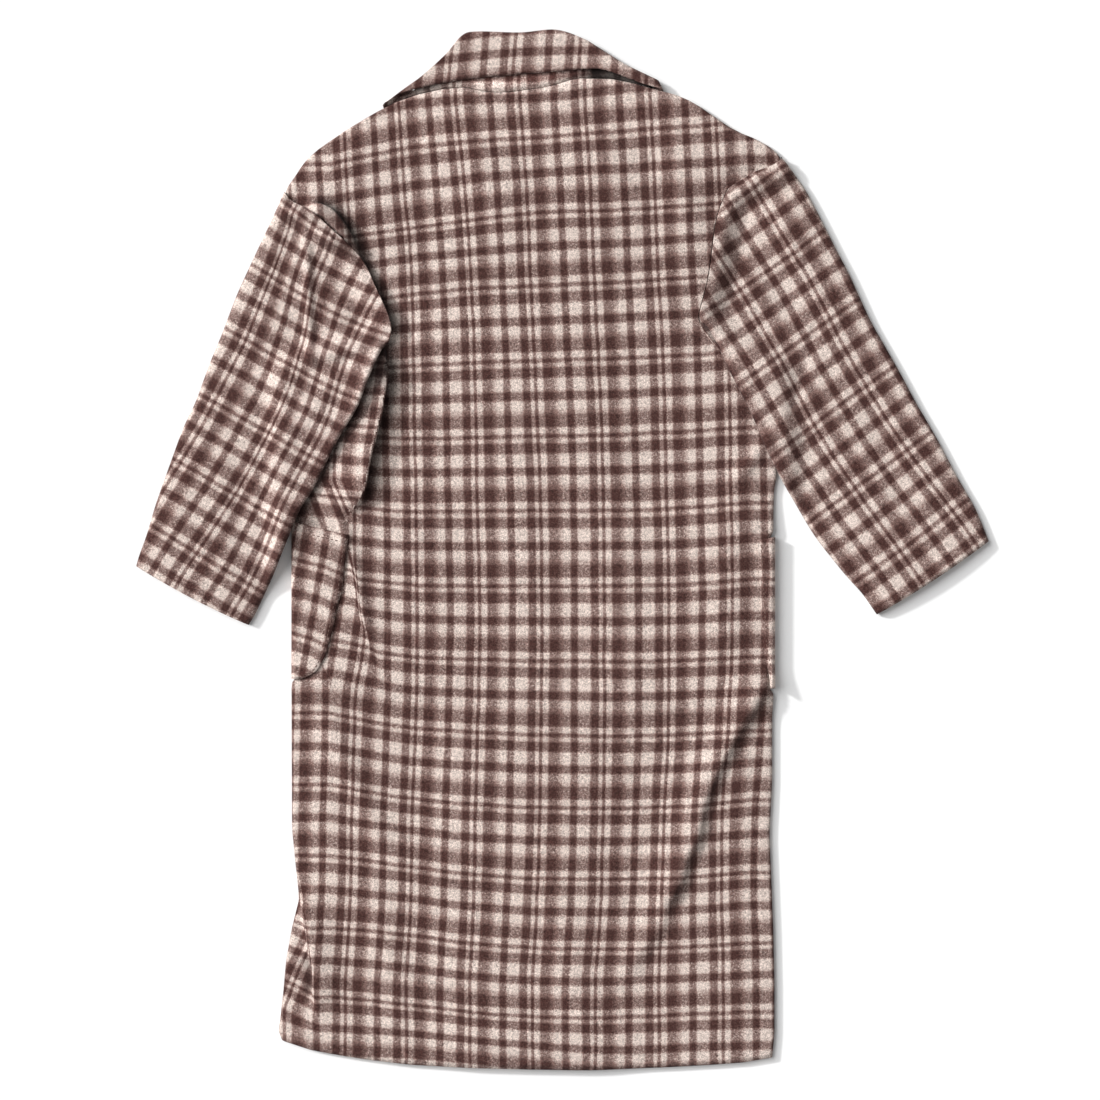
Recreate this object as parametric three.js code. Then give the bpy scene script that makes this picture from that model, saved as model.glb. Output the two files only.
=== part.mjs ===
import * as THREE from "three";

// A wide plaid wool coat laid flat on its front, back up, sleeves spread down its sides.
// Lengths are millimetres. +Y runs from the hem to the collar, +X is the wearer's right, +Z is up.

// Cloth and the clearances between pieces
const CLOTH = 2.4;
const SEAM = 0.3;
const REST = 1.0;
const AIR = 0.9;
const LAYER = CLOTH + SEAM;

// Folded edges
const FOLD_RADIUS = 5;
const SIDE_CURL = 1.1;
const CURL_REACH = 6;

// Front opening, which is hidden below the back
const CENTRE_X = -33;
const LAP_HALF = 40;
const LAP_CLEAR = 9;
const LAP_RAMP = 24;

// Soft height of the cloth above the flat stack
const PUFF = 2.2;
const PUFF_RAMP = 45;

// Sleeves
const SLEEVE_AIR = 2.2;
const ARMHOLE_REST = 3.2;
const REST_RAMP_OUT = 22;
const REST_RAMP_IN = 7;
const DRAPE_RAMP = 34;
const ARMHOLE_GAP = 0.6;
const POCKET_REACH = 44;
const POCKET_COVER = 6.2;

// Colours of the plaid as one mean tone, a little darker inside the collar
const WOOL = 0x96807a;
const WOOL_DARK = 0x6d5955;
const POCKET_TONE = 0x8d7771;

const lerp = (a, b, t) => a + (b - a) * t;
const clamp = (v, lo, hi) => Math.min(hi, Math.max(lo, v));
const smooth = (lo, hi, v) => {
  const t = clamp((v - lo) / (hi - lo), 0, 1);
  return t * t * (3 - 2 * t);
};

// Straight-line look-up in rows of [key, value] with rising keys
function along(rows, key) {
  if (key <= rows[0][0]) return rows[0][1];
  for (let i = 1; i < rows.length; i++)
    if (key <= rows[i][0])
      return lerp(rows[i - 1][1], rows[i][1], (key - rows[i - 1][0]) / (rows[i][0] - rows[i - 1][0]));
  return rows[rows.length - 1][1];
}

// Side outline of the back: y, x. Armhole between the underarm and the shoulder point.
const LEFT_SIDE = [
  [-541, -309], [-533, -313], [-520, -311.4], [-485, -307.5], [-453, -304.8], [-416, -298.1],
  [-385, -290.4], [-372, -291.4], [-346, -294.3], [-307, -298.1], [-146, -298.7], [-141, -293.2],
  [32, -293], [38, -297.6], [190, -298],
];
const LEFT_ARMHOLE = [
  [190, -298], [197, -280], [206, -250], [217, -222], [228, -202], [238, -187], [248, -187.6],
  [259, -190.9], [274, -197.5], [290, -205.2], [311, -214.2], [321, -221], [329, -227.7],
  [340, -239.3], [347.6, -248.1], [355.6, -256.9], [364.5, -265.9], [373.6, -277.1],
  [379.5, -288.3], [384, -298.7], [394.9, -306.4],
];
const LEFT_SHOULDER = [
  [394.9, -306.4], [410.6, -295.4], [426.8, -284.8], [440, -271.2], [462, -239.3], [484, -201.5],
  [492.5, -184],
];
const RIGHT_SIDE = [
  [-559, 231.2], [-533, 233.8], [-480, 233.8], [-419, 232.5], [-352, 229.8], [-314.6, 228.3],
  [-253.7, 231.2], [-187, 231.2], [-158, 233], [-153, 228], [14, 228.6], [20, 232.3], [65, 233.3],
  [84, 236.5], [110, 236], [150, 232], [190, 226],
];
const RIGHT_ARMHOLE = [
  [190, 226], [197, 214], [207, 196], [220, 176], [236, 160], [250, 151], [257.7, 149.1],
  [272.8, 153.1], [293.8, 158.7], [310.8, 161.5], [338.8, 165], [355.6, 167.1], [372.5, 171.1],
  [387.9, 177], [397.7, 181], [403.7, 190.9], [410.3, 201.9], [417.3, 210.7], [421, 227.2],
  [426, 236], [432.7, 241.5],
];
const RIGHT_SHOULDER = [
  [432.7, 241.5], [445.5, 226.6], [455.4, 207.9], [460.4, 192], [488.4, 151.3], [500, 130],
  [507.5, 99],
];
const sideOf = (...parts) => parts.flatMap((part, i) => (i ? part.slice(1) : part));
const LEFT_EDGE = sideOf(LEFT_SIDE, LEFT_ARMHOLE, LEFT_SHOULDER);
const RIGHT_EDGE = sideOf(RIGHT_SIDE, RIGHT_ARMHOLE, RIGHT_SHOULDER);

// Underarm, tip of the laid-over sleeve and shoulder point of each side, as y
const LEFT_MARKS = { underarm: 190, tip: 238, shoulder: 394.9 };
const RIGHT_MARKS = { underarm: 190, tip: 257.7, shoulder: 432.7 };

// Outer edge of the fronts, which runs straight up the armhole on the floor side
const frontEdge = (edge, marks) => (y) =>
  y > marks.underarm && y < marks.shoulder
    ? lerp(along(edge, marks.underarm), along(edge, marks.shoulder),
        (y - marks.underarm) / (marks.shoulder - marks.underarm))
    : along(edge, y);
const frontLeftEdge = frontEdge(LEFT_EDGE, LEFT_MARKS);
const frontRightEdge = frontEdge(RIGHT_EDGE, RIGHT_MARKS);

// Hem and neck seam: x, y
const HEM = [
  [-313, -538], [-308.6, -540.5], [-276.7, -550.9], [-239.5, -557.7], [-212.9, -561.6],
  [-167.8, -566.9], [-106.2, -570.1], [-39.5, -571.7], [13.8, -572.6], [38, -572.6],
  [117.9, -569.6], [165.6, -566.9], [197.5, -564.6], [231.2, -559],
];
const NECK = [
  [-184, 492.5], [-160, 501], [-130, 507.5], [-108, 509], [-87.5, 504.9], [-72, 503.4],
  [-57.8, 503.8], [-42.8, 506], [-23.7, 508.4], [-8.8, 511.5], [6.1, 516.5], [16.5, 519],
  [54.5, 518.2], [79.8, 513], [99, 507.5],
];

// One row per section of the body: left y, right y, share of the hem curve, share of the neck curve
const BODY_ROWS = [
  [-540.5, -559, 1, 0], [-524, -535, 0.75, 0], [-485, -485, 0.4, 0], [-450, -450, 0.15, 0],
  [-414, -415, 0, 0], [-385, -385, 0, 0], [-350, -350, 0, 0], [-310, -310, 0, 0],
  [-265, -265, 0, 0], [-220, -220, 0, 0], [-180, -185, 0, 0], [-146, -158, 0, 0],
  [-141, -153, 0, 0], [-108, -116, 0, 0], [-74, -80, 0, 0], [-38, -44, 0, 0], [0, -10, 0, 0],
  [32, 14, 0, 0], [38, 20, 0, 0], [70, 54, 0, 0], [104, 90, 0, 0], [138, 128, 0, 0],
  [168, 164, 0, 0], [190, 190, 0, 0], [198, 198, 0, 0],
  [206, 207, 0, 0], [222, 232, 0, 0], [238, 257.7, 0, 0],
  [262, 290, 0, 0], [290, 320, 0, 0], [321, 350, 0, 0], [342, 376, 0, 0], [358, 398, 0, 0],
  [370, 409, 0, 0], [381, 419, 0, 0], [387, 426, 0, 0], [394.9, 432.7, 0, 0],
  [411, 444, 0, 0.1], [434, 458, 0, 0.25], [462, 476, 0, 0.5], [482, 495, 0, 0.85],
  [492.5, 507.5, 0, 1],
];

// Where something lies under the fronts and lifts them: middle x, half width, low y, high y
const LIFTS = [
  { x: -40, half: 176, low: 366, high: 700, rampX: 26, rampY: 22 },
  { x: -240, half: 67, low: -146, high: 34, rampX: 22, rampY: 10 },
  { x: 160, half: 73, low: -154, high: 22, rampX: 22, rampY: 10 },
];
const lift = (x, y) =>
  Math.max(...LIFTS.map(({ x: mid, half, low, high, rampX, rampY }) =>
    LAYER * (1 - smooth(half, half + rampX, Math.abs(x - mid)))
      * smooth(low - rampY, low, y) * (1 - smooth(high, high + rampY, y))));

// Folds of the back: from and to, width across, height, steepness of the right flank
const FOLDS = [
  { from: [-199, 196], to: [-229, 56], left: 34, right: 12, height: 10, fade: 34 },
  { from: [-222, 330], to: [-262, 380], left: 8, right: 13, height: 3.5, fade: 30 },
  { from: [-231, -2], to: [-214, -80], left: 8, right: 8, height: 2.5, fade: 40 },
  { from: [-286, -390], to: [-270, -490], left: 6, right: 14, height: 3, fade: 50 },
  { from: [-250, -200], to: [-150, -355], left: 16, right: 16, height: 2, fade: 60 },
  { from: [222, -175], to: [160, -290], left: 17, right: 14, height: -2, fade: 50 },
  { from: [160, -290], to: [92, -452], left: 16, right: 16, height: -1.8, fade: 60 },
  { from: [236, 132], to: [196, 84], left: 9, right: 9, height: 2.4, fade: 25 },
  { from: [120, 440], to: [150, 300], left: 18, right: 22, height: 1.6, fade: 60 },
  { from: [-120, 470], to: [-60, 380], left: 24, right: 24, height: 1.4, fade: 60 },
];
function foldHeight(x, y) {
  let sum = 0;
  for (const { from, to, left, right, height, fade } of FOLDS) {
    const dx = to[0] - from[0], dy = to[1] - from[1];
    const length = Math.hypot(dx, dy);
    const run = ((x - from[0]) * dx + (y - from[1]) * dy) / length;
    const across = ((y - from[1]) * dx - (x - from[0]) * dy) / length;
    const width = across > 0 === dy < 0 ? right : left;
    const ends = smooth(-fade, fade * 0.5, run) * (1 - smooth(length - fade * 0.5, length + fade, run));
    sum += height * Math.exp(-((across / width) ** 2)) * ends;
  }
  return sum;
}

const frontTop = (x, y) => lift(x, y) + CLOTH;
const lapLift = (x, y) =>
  LAYER * (1 - smooth(LAP_HALF + LAP_CLEAR, LAP_HALF + LAP_RAMP, Math.abs(x - CENTRE_X)))
    * (1 - smooth(445, 470, y));
const insideBody = (x, y) =>
  Math.min(x - along(LEFT_EDGE, y), along(RIGHT_EDGE, y) - x, y - along(HEM, x) + 8);

// Height of the back's upper face
function backTop(x, y) {
  const stack = frontTop(x, y) + lapLift(x, y) + SEAM + AIR + CLOTH;
  const room = smooth(0, PUFF_RAMP, insideBody(x, y)) * (1 - smooth(440, 495, y));
  return Math.max(stack, stack + PUFF * room + foldHeight(x, y));
}

// A closed thin solid between two grids of points of one size; loop joins the last column to the first
function solid(name, outer, inner, color, loop = false) {
  const rows = outer.length, cols = outer[0].length;
  const points = [...outer.flat(), ...inner.flat()];
  const out = (i, j) => i * cols + (j % cols);
  const inn = (i, j) => rows * cols + out(i, j);
  const faces = [];
  const quad = (a, b, c, d) => faces.push([a, b, c], [a, c, d]);
  const span = loop ? cols : cols - 1;
  for (let i = 0; i < rows - 1; i++)
    for (let j = 0; j < span; j++) {
      quad(out(i, j), out(i + 1, j), out(i + 1, j + 1), out(i, j + 1));
      quad(inn(i, j), inn(i, j + 1), inn(i + 1, j + 1), inn(i + 1, j));
    }
  for (let j = 0; j < span; j++) {
    quad(out(0, j), out(0, j + 1), inn(0, j + 1), inn(0, j));
    quad(out(rows - 1, j + 1), out(rows - 1, j), inn(rows - 1, j), inn(rows - 1, j + 1));
  }
  if (!loop)
    for (let i = 0; i < rows - 1; i++) {
      quad(out(i + 1, 0), out(i, 0), inn(i, 0), inn(i + 1, 0));
      quad(out(i, cols - 1), out(i + 1, cols - 1), inn(i + 1, cols - 1), inn(i, cols - 1));
    }
  let volume = 0;
  for (const [a, b, c] of faces)
    volume += points[a].dot(new THREE.Vector3().crossVectors(points[b], points[c]));
  const geometry = new THREE.BufferGeometry().setFromPoints(points);
  geometry.setIndex(faces.flatMap(([a, b, c]) => (volume < 0 ? [a, c, b] : [a, b, c])));
  geometry.computeVertexNormals();
  const mesh = new THREE.Mesh(
    geometry,
    new THREE.MeshStandardMaterial({ color, roughness: 0.95, metalness: 0, side: THREE.DoubleSide }),
  );
  mesh.name = name;
  return mesh;
}

// Steps round a folded edge as angles, then the number of even steps between two folds
const FOLD_ANGLES = [0, 0.45, 0.9, Math.PI / 2];
const foldOut = (angle) => FOLD_RADIUS * (1 - Math.cos(angle));
const foldIn = (angle) => CLOTH + (FOLD_RADIUS - CLOTH) * (1 - Math.cos(angle));

// Stations across a strip of a given width: distance from the start on both faces, share of full height
function stations(width, steps, startFold, endFold) {
  const list = FOLD_ANGLES.map((angle) => ({
    outer: foldOut(angle),
    inner: lerp(foldOut(angle), foldIn(angle), startFold),
    rise: lerp(1, Math.sin(angle), startFold),
  }));
  for (let i = 1; i < steps; i++) {
    const d = lerp(FOLD_RADIUS, width - FOLD_RADIUS, i / steps);
    list.push({ outer: d, inner: d, rise: 1 });
  }
  const end = FOLD_ANGLES.map((angle) => ({
    outer: width - foldOut(angle),
    inner: width - lerp(foldOut(angle), foldIn(angle), endFold),
    rise: lerp(1, Math.sin(angle), endFold),
  }));
  return list.concat(end.reverse());
}

// How much an edge at height y is a folded side or shoulder, not the armhole
const folded = (y, { underarm, shoulder }) =>
  1 - smooth(underarm - 2, underarm + 14, y) * (1 - smooth(shoulder - 2, shoulder, y));

// A point of a body section at a distance from its left end, as x and y
function bodyPoint([yl, yr, hemShare, neckShare], d, xl, xr) {
  const x = xl + d;
  let y = lerp(yl, yr, d / (xr - xl));
  y += hemShare * (along(HEM, x) - lerp(-540.5, -559, d / (xr - xl)));
  y += neckShare * (along(NECK, x) - lerp(492.5, 507.5, d / (xr - xl)));
  return [x, y];
}

const BACK_STEPS = 25;
function backPanel() {
  const outer = [], inner = [];
  for (const row of BODY_ROWS) {
    const xl = along(LEFT_EDGE, row[0]), xr = along(RIGHT_EDGE, row[1]);
    const base = (x, y) => frontTop(x, y) + SEAM + SIDE_CURL + (y > LEFT_MARKS.shoulder ? 0.25 : 0);
    const list = stations(xr - xl, BACK_STEPS, folded(row[0], LEFT_MARKS), folded(row[1], RIGHT_MARKS));
    const face = (d, drop, rise) => {
      const [x, y] = bodyPoint(row, d, xl, xr);
      const low = base(x, y);
      return new THREE.Vector3(x, y, low + (backTop(x, y) - drop - low) * rise);
    };
    outer.push(list.map(({ outer: d, rise }) => face(d, 0, rise)));
    inner.push(list.map(({ inner: d, rise }) => face(d, CLOTH, rise)));
  }
  return solid("back_panel", outer, inner, WOOL);
}

// Neckline of the fronts, from the lapped centre to the shoulder: distance from the centre towards the
// panel's own side, y there, and y of the shoulder edge on the same row
const NECKLINE = {
  left: [
    [-LAP_HALF, 420, 403], [5, 426, 411], [42, 434, 434], [84, 454, 462], [118, 476, 482],
    [141, 490, 492.5],
  ],
  right: [
    [-LAP_HALF, 420, 438], [5, 426, 444], [43, 434, 458], [83, 454, 476], [119, 476, 495],
    [134, 499, 501],
  ],
};

// Columns of the fronts from the side to the centre edge, as x in a row of the usual width. The first
// is where the even columns start.
const FRONT_COLUMNS = {
  left: [-294, -284, -236, -208, -173, -150, -122, -96, -80, -33],
  right: [229, 216, 158, 127, 86, 64, 30, 0, -33, -60],
};
const FRONT_EDGE_STEPS = [0, 0.7, 2, 3.8];

function frontPanel(name, side) {
  const key = side < 0 ? "left" : "right";
  const edgeAt = side < 0 ? frontLeftEdge : frontRightEdge;
  const full = CENTRE_X - side * LAP_HALF, first = FRONT_COLUMNS[key][0];
  const body = BODY_ROWS.filter((row) => row[0] < 395).map((row) => {
    const xl = frontLeftEdge(row[0]), xr = frontRightEdge(row[1]);
    return { edge: side < 0 ? xl : xr, centre: full, yAt: (x) => bodyPoint(row, x - xl, xl, xr)[1] };
  });
  const neck = NECKLINE[key].map(([out, y, edgeY]) => {
    const edge = edgeAt(edgeY), centre = CENTRE_X + side * out;
    return { edge, centre, yAt: (x) => lerp(y, edgeY, (x - centre) / (edge - centre)) };
  });
  const outer = [], inner = [];
  for (const { edge, centre, yAt } of body.concat(neck)) {
    const start = edge - side * 4.5;
    const columns = FRONT_EDGE_STEPS.map((d) => edge - side * d)
      .concat(FRONT_COLUMNS[key].slice(1).map((x) => lerp(start, centre, (x - first) / (full - first))))
      .concat([centre]);
    const at = (x, up) => {
      const y = yAt(x);
      const curl = SIDE_CURL * (1 - Math.sqrt(1 - (1 - Math.min(1, Math.abs(x - edge) / CURL_REACH)) ** 2));
      return new THREE.Vector3(x, y, lift(x, y) + curl + (side < 0 ? lapLift(x, y) : 0) + up);
    };
    outer.push(columns.map((x) => at(x, CLOTH)));
    inner.push(columns.map((x) => at(x, 0)));
  }
  return solid(name, outer, inner, WOOL);
}

// Sleeves. One row per section: outer edge x, y and inner edge x, y, shoulder to cuff.
const LEFT_SLEEVE = [
  [-306.4, 394.9, -186.5, 238], [-309, 390, -189, 228], [-316, 373, -196.5, 222],
  [-327.3, 349.8, -205, 205], [-343.8, 314.6, -214, 184], [-359.2, 280.5, -225, 156],
  [-375.7, 237.6, -243, 127], [-388.9, 205.7, -257.4, 100.1], [-404.8, 162.8, -274, 67],
  [-418.6, 133.1, -288.5, 43], [-435.1, 88, -304.2, 5.1], [-448.3, 50.6, -316, -23],
  [-458.8, 15.7, -328, -48], [-466.5, -5.5, -338.5, -70], [-470, -17.6, -346, -82.5],
];
const RIGHT_SLEEVE = [
  [241.5, 432.7, 149.1, 257.7], [246, 428, 152, 250], [256, 414, 161, 242],
  [268, 396.5, 170, 226], [285.2, 364.3, 181, 202], [302, 331, 194.6, 175.1],
  [320, 303, 208, 149], [338.3, 255.2, 223, 113], [362.5, 220.4, 241, 77],
  [380, 190, 256, 52], [391, 162, 277, 17], [415, 126, 296, -8],
  [437.3, 79.2, 314, -30], [455, 46, 330.6, -48.4], [470, 10, 346.5, -71],
];

// Bow of the cuff edge, and folds as share along, share across, reach and height
const SLEEVES = {
  left: {
    name: "sleeve_left", table: LEFT_SLEEVE, armhole: LEFT_ARMHOLE, marks: LEFT_MARKS,
    edge: LEFT_EDGE, front: frontLeftEdge, side: -1, cuffBow: 3,
    folds: [
      { from: [0.03, 0.18], to: [0.36, 0.3], reach: 0.07, height: 1.8 },
      { from: [0.25, 0.75], to: [0.5, 0.6], reach: 0.1, height: 1.4 },
      { from: [0.62, 0.45], to: [0.8, 0.75], reach: 0.1, height: -1.4 },
    ],
  },
  right: {
    name: "sleeve_right", table: RIGHT_SLEEVE, armhole: RIGHT_ARMHOLE, marks: RIGHT_MARKS,
    edge: RIGHT_EDGE, front: frontRightEdge, side: 1, cuffBow: 3,
    folds: [
      { from: [0.05, 0.3], to: [0.3, 0.2], reach: 0.09, height: 1.6 },
      { from: [0.3, 0.8], to: [0.55, 0.55], reach: 0.1, height: 1.4 },
      { from: [0.6, 0.25], to: [0.85, 0.4], reach: 0.1, height: -1.4 },
    ],
  },
};

// Point at a share of the length of a polyline
function onPath(path, share) {
  const lengths = [0];
  for (let i = 1; i < path.length; i++)
    lengths.push(lengths[i - 1] + Math.hypot(path[i][0] - path[i - 1][0], path[i][1] - path[i - 1][1]));
  const at = clamp(share, 0, 1) * lengths[lengths.length - 1];
  const keys = (axis) => lengths.map((length, i) => [length + i * 1e-6, path[i][axis]]);
  return [along(keys(0), at), along(keys(1), at)];
}

// Distance outwards from the back's side outline, for the part of it between two heights
function outside(rows, side, low, high, x, y) {
  let nearest = Infinity;
  for (let i = 1; i < rows.length; i++) {
    const [ay, ax] = rows[i - 1], [by, bx] = rows[i];
    if (by <= low || ay >= high) continue;
    const dx = bx - ax, dy = by - ay;
    const t = clamp(((x - ax) * dx + (y - ay) * dy) / (dx * dx + dy * dy), 0, 1);
    nearest = Math.min(nearest, Math.hypot(x - ax - dx * t, y - ay - dy * t));
  }
  return side * (x - along(rows, y)) > 0 ? nearest : -nearest;
}

const SLEEVE_STEPS = 14;
const ARMHOLE_FADE = 0.22;
const UNDER_ROW = 6;
const SEAM_ROOM = CLOTH + 0.6;
function sleeve({ name, table, armhole, marks, edge, front, side, cuffBow, folds }) {
  const tip = armhole.findIndex(([y]) => y === marks.tip);
  const shifted = armhole.map(([y, x]) => [x + side * ARMHOLE_GAP, y]);
  const upper = shifted.slice(tip).reverse();
  const under = shifted.slice(0, tip + 1).map(([x, y]) => [x, y - 1]);
  const floor = Array.from({ length: 9 }, (_, i) => {
    const y = lerp(marks.shoulder, marks.underarm, i / 8);
    return [front(y) + side * ARMHOLE_GAP, y];
  });
  const lower = floor.concat(under);
  const restEdge = edge.map(([y, x]) => [y, y < POCKET_REACH && side < 0 ? Math.min(x, -299.5) : x]);
  const cover = (x, y) =>
    backTop(side < 0 ? Math.max(x, along(edge, y) + 8) : Math.min(x, along(edge, y) - 8), y)
      + REST + (side < 0 ? POCKET_COVER * (1 - smooth(POCKET_REACH, POCKET_REACH + 20, y)) : 0);
  const line = ([ox, oy, ix, iy], a) => [lerp(ox, ix, a), lerp(oy, iy, a)];
  const outer = [], inner = [];
  table.forEach((row, k) => {
    const s = k / (table.length - 1);
    const width = Math.hypot(row[2] - row[0], row[3] - row[1]);
    const list = stations(width, SLEEVE_STEPS, 1, 1);
    const seamShare = 1 - smooth(0, ARMHOLE_FADE, s);
    const bow = (a) => cuffBow * 4 * a * (1 - a) * smooth(0.8, 1, s);
    const planTop = (a) => {
      const [x, y] = line(row, a), [x0, y0] = line(table[0], a), [px, py] = onPath(upper, a);
      return [x + (px - x0) * seamShare, y + (py - y0) * seamShare - bow(a)];
    };
    const planBottom = (a) => {
      const [x, y] = line(row, a);
      if (k >= UNDER_ROW) return [x, y - bow(a)];
      const done = (row) => Math.hypot(row[0] - table[0][0], row[1] - table[0][1]);
      const t = done(row) / done(table[UNDER_ROW]);
      const [px, py] = onPath(lower, a), [qx, qy] = line(table[UNDER_ROW], a);
      const even = table[0].map((v, i) => lerp(v, table[UNDER_ROW][i], t));
      const [ex, ey] = line(even, a);
      return [lerp(px, qx, t) + x - ex, lerp(py, qy, t) + y - ey];
    };
    const crease = (a) => folds.reduce((sum, { from, to, reach, height }) => {
      const run = (s - from[0]) / (to[0] - from[0]);
      const mid = lerp(from[1], to[1], clamp(run, 0, 1));
      const ends = smooth(-0.3, 0.3, run) * (1 - smooth(0.7, 1.3, run));
      return sum + height * Math.exp(-(((a - mid) / reach) ** 2)) * ends;
    }, 0);
    const extra = ARMHOLE_REST * seamShare;
    const lowAt = (x, y) =>
      (cover(x, y) + extra) * (1 - smooth(REST_RAMP_IN, REST_RAMP_OUT,
        outside(restEdge, side, -600, marks.tip, x, y)));
    const highAt = (x, y, a) => {
      const body = Math.sin(Math.PI * clamp(a, 0, 1)) ** 0.5;
      const room = 2 * CLOTH + 1.4 + (SLEEVE_AIR + crease(a)) * body;
      const atSeam = seamShare * (1 - smooth(0.55, 0.93, a));
      const drape = 1 - smooth(REST_RAMP_IN, DRAPE_RAMP, outside(restEdge, side, -600, 600, x, y));
      return (cover(x, y) + extra) * drape + lerp(room, SEAM_ROOM - extra, atSeam);
    };
    const ring = (shell) => {
      const drop = shell === "inner" ? CLOTH : 0;
      const points = list.map((st) => {
        const a = st[shell] / width;
        const [tx, ty] = planTop(a), [bx, by] = planBottom(a);
        const high = highAt(tx, ty, a), low = lowAt(bx, by);
        const mid = (highAt(...planTop(a), a) + lowAt(...planBottom(a))) / 2;
        return {
          top: new THREE.Vector3(tx, ty, mid + (high - mid - drop) * st.rise),
          bottom: new THREE.Vector3(bx, by, mid - (mid - low - drop) * st.rise),
        };
      });
      return points.map(({ top }) => top).concat(points.slice(1, -1).map(({ bottom }) => bottom).reverse());
    };
    outer.push(ring("outer"));
    inner.push(ring("inner"));
  });
  return solid(name, outer, inner, WOOL, true);
}

// Collar. One row per station: roll x, y, leaf edge x, y, side of the fold (-1 front, 0 fold, 1 back).
const LEAF_LEFT = [
  [-38, 446, -78, 376, -1], [-75, 456, -122, 384, -1], [-115, 476, -162, 412, -1],
  [-150, 497, -186, 456, -1], [-170, 510.4, -198, 490, 0],
];
const LEAF_BACK = [
  [-152.8, 522.5, -181, 501.5, 1], [-127.5, 546.7, -158, 508, 1], [-110.6, 566.5, -132.6, 513.2, 1],
  [-93.4, 570.9, -98, 518.5, 1], [-46.8, 569.8, -55.6, 522.5, 1], [-7.6, 572.9, -12.7, 525.8, 1],
  [22.6, 563.2, 20, 528.5, 1], [41.3, 552.2, 41.3, 529.1, 1], [67.7, 535.6, 63.3, 522.5, 1],
  [88, 525.5, 84, 514.5, 1],
];
const LEAF_RIGHT = [
  [106, 517, 111, 506.5, 0], [86, 498, 117, 466, -1], [50, 476, 92, 414, -1],
  [10, 456, 52, 384, -1], [-28, 446, 12, 376, -1],
];
const COLLAR_TOP = 11.2;
const ROLL_OPEN = 0.42;
const STAND_INSET = 3.2;

// A band that wraps round two side folds: rows across it, stations along it
function wrapped(name, rows, across, heights, color, roll) {
  const outer = [], inner = [];
  for (const b of across) {
    const ringOut = [], ringIn = [];
    rows.forEach((row, k) => {
      const at = (r) => {
        const length = Math.hypot(r[2] - r[0], r[3] - r[1]);
        return (d) => [lerp(r[0], r[2], d / length), lerp(r[1], r[3], d / length)];
      };
      const place = (r, shell) => {
        const length = Math.hypot(r[2] - r[0], r[3] - r[1]);
        const d = b.share === undefined ? Math.min(b[shell], length * 0.3) : lerp(
          Math.min(FOLD_RADIUS, length * 0.35), length, b.share);
        return at(r)(d);
      };
      const rise = roll && row[4] > 0 ? b.rise : 1;
      if (row[4] !== 0) {
        const put = (shell, drop) => {
          const [x, y] = place(row, shell);
          const [low, high] = heights(x, y, row);
          const mid = (low + high) / 2;
          const z = row[4] > 0 ? mid + (high - drop - mid) * rise : mid - (mid - low - drop) * rise;
          return new THREE.Vector3(x, y, z);
        };
        ringOut.push(put("outer", 0));
        ringIn.push(put("inner", CLOTH));
        return;
      }
      const before = rows[k - 1], after = rows[k + 1];
      const up = after[4] > 0 ? 1 : -1;
      const first = [...FOLD_ANGLES].reverse().map((angle) => [-up * angle, before]);
      const turns = first.concat(FOLD_ANGLES.slice(1).map((angle) => [up * angle, after]));
      for (const [angle, next] of turns) {
        const put = (shell, drop) => {
          const p = place(row, shell), q = place(next, shell);
          const gap = Math.hypot(q[0] - p[0], q[1] - p[1]);
          const d = Math.min(shell === "outer" ? foldOut(angle) : foldIn(angle), gap * 0.8);
          const x = lerp(p[0], q[0], d / gap), y = lerp(p[1], q[1], d / gap);
          const [low, high] = heights(x, y, row);
          const mid = (low + high) / 2;
          const rolled = roll && angle > 0 ? b.rise : 1;
          return new THREE.Vector3(x, y, mid + (high - mid - drop) * Math.sin(angle) * rolled);
        };
        ringOut.push(put("outer", 0));
        ringIn.push(put("inner", CLOTH));
      }
    });
    outer.push(ringOut);
    inner.push(ringIn);
  }
  return solid(name, outer, inner, color);
}

const LEAF_ROWS = [...LEAF_LEFT, ...LEAF_BACK, ...LEAF_RIGHT];
const LEAF_ACROSS = [
  { outer: 0, inner: CLOTH, rise: ROLL_OPEN },
  { outer: 1.2, inner: CLOTH + 0.7, rise: 0.75 },
  { outer: 3, inner: CLOTH + 1.4, rise: 0.94 },
  { share: 0, rise: 1 }, { share: 0.33, rise: 1 }, { share: 0.67, rise: 1 }, { share: 1, rise: 1 },
];
const leafHeights = () => [0, COLLAR_TOP];

// The stand runs from just inside the roll to the neck seam of the back or the neckline of the fronts
const STAND_FOLD = { left: [-164, 506.5, -176, 496.5, 0], right: [97.5, 514.5, 99.5, 509, 0] };
const STAND_BACK = { from: -160, to: 92, steps: 22, slant: 7 };
function standRows() {
  const rollY = LEAF_BACK.map(([x, y]) => [x, y]);
  const front = (rows, neck) =>
    rows.filter((row) => row[4] < 0).map(([rx, ry]) =>
      [rx, ry - STAND_INSET, rx, along(neck, Math.abs(rx - CENTRE_X)) + SEAM + 0.3, -1]);
  const back = Array.from({ length: STAND_BACK.steps + 1 }, (_, i) => {
    const x = lerp(STAND_BACK.from, STAND_BACK.to, i / STAND_BACK.steps);
    const inset = STAND_INSET + STAND_BACK.slant * smooth(60, 110, Math.abs(x + 45));
    const low = along(NECK, x) + SEAM + 0.5;
    return [x, Math.max(along(rollY, x) - inset, low + 3), x, low, 1];
  });
  return [...front(LEAF_LEFT, NECKLINE.left), STAND_FOLD.left, ...back, STAND_FOLD.right,
    ...front(LEAF_RIGHT, NECKLINE.right)];
}
const STAND_ACROSS = [{ share: 0, rise: 1 }, { share: 0.5, rise: 1 }, { share: 1, rise: 1 }];
const standHeights = () => [LAYER, COLLAR_TOP - LAYER];

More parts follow.
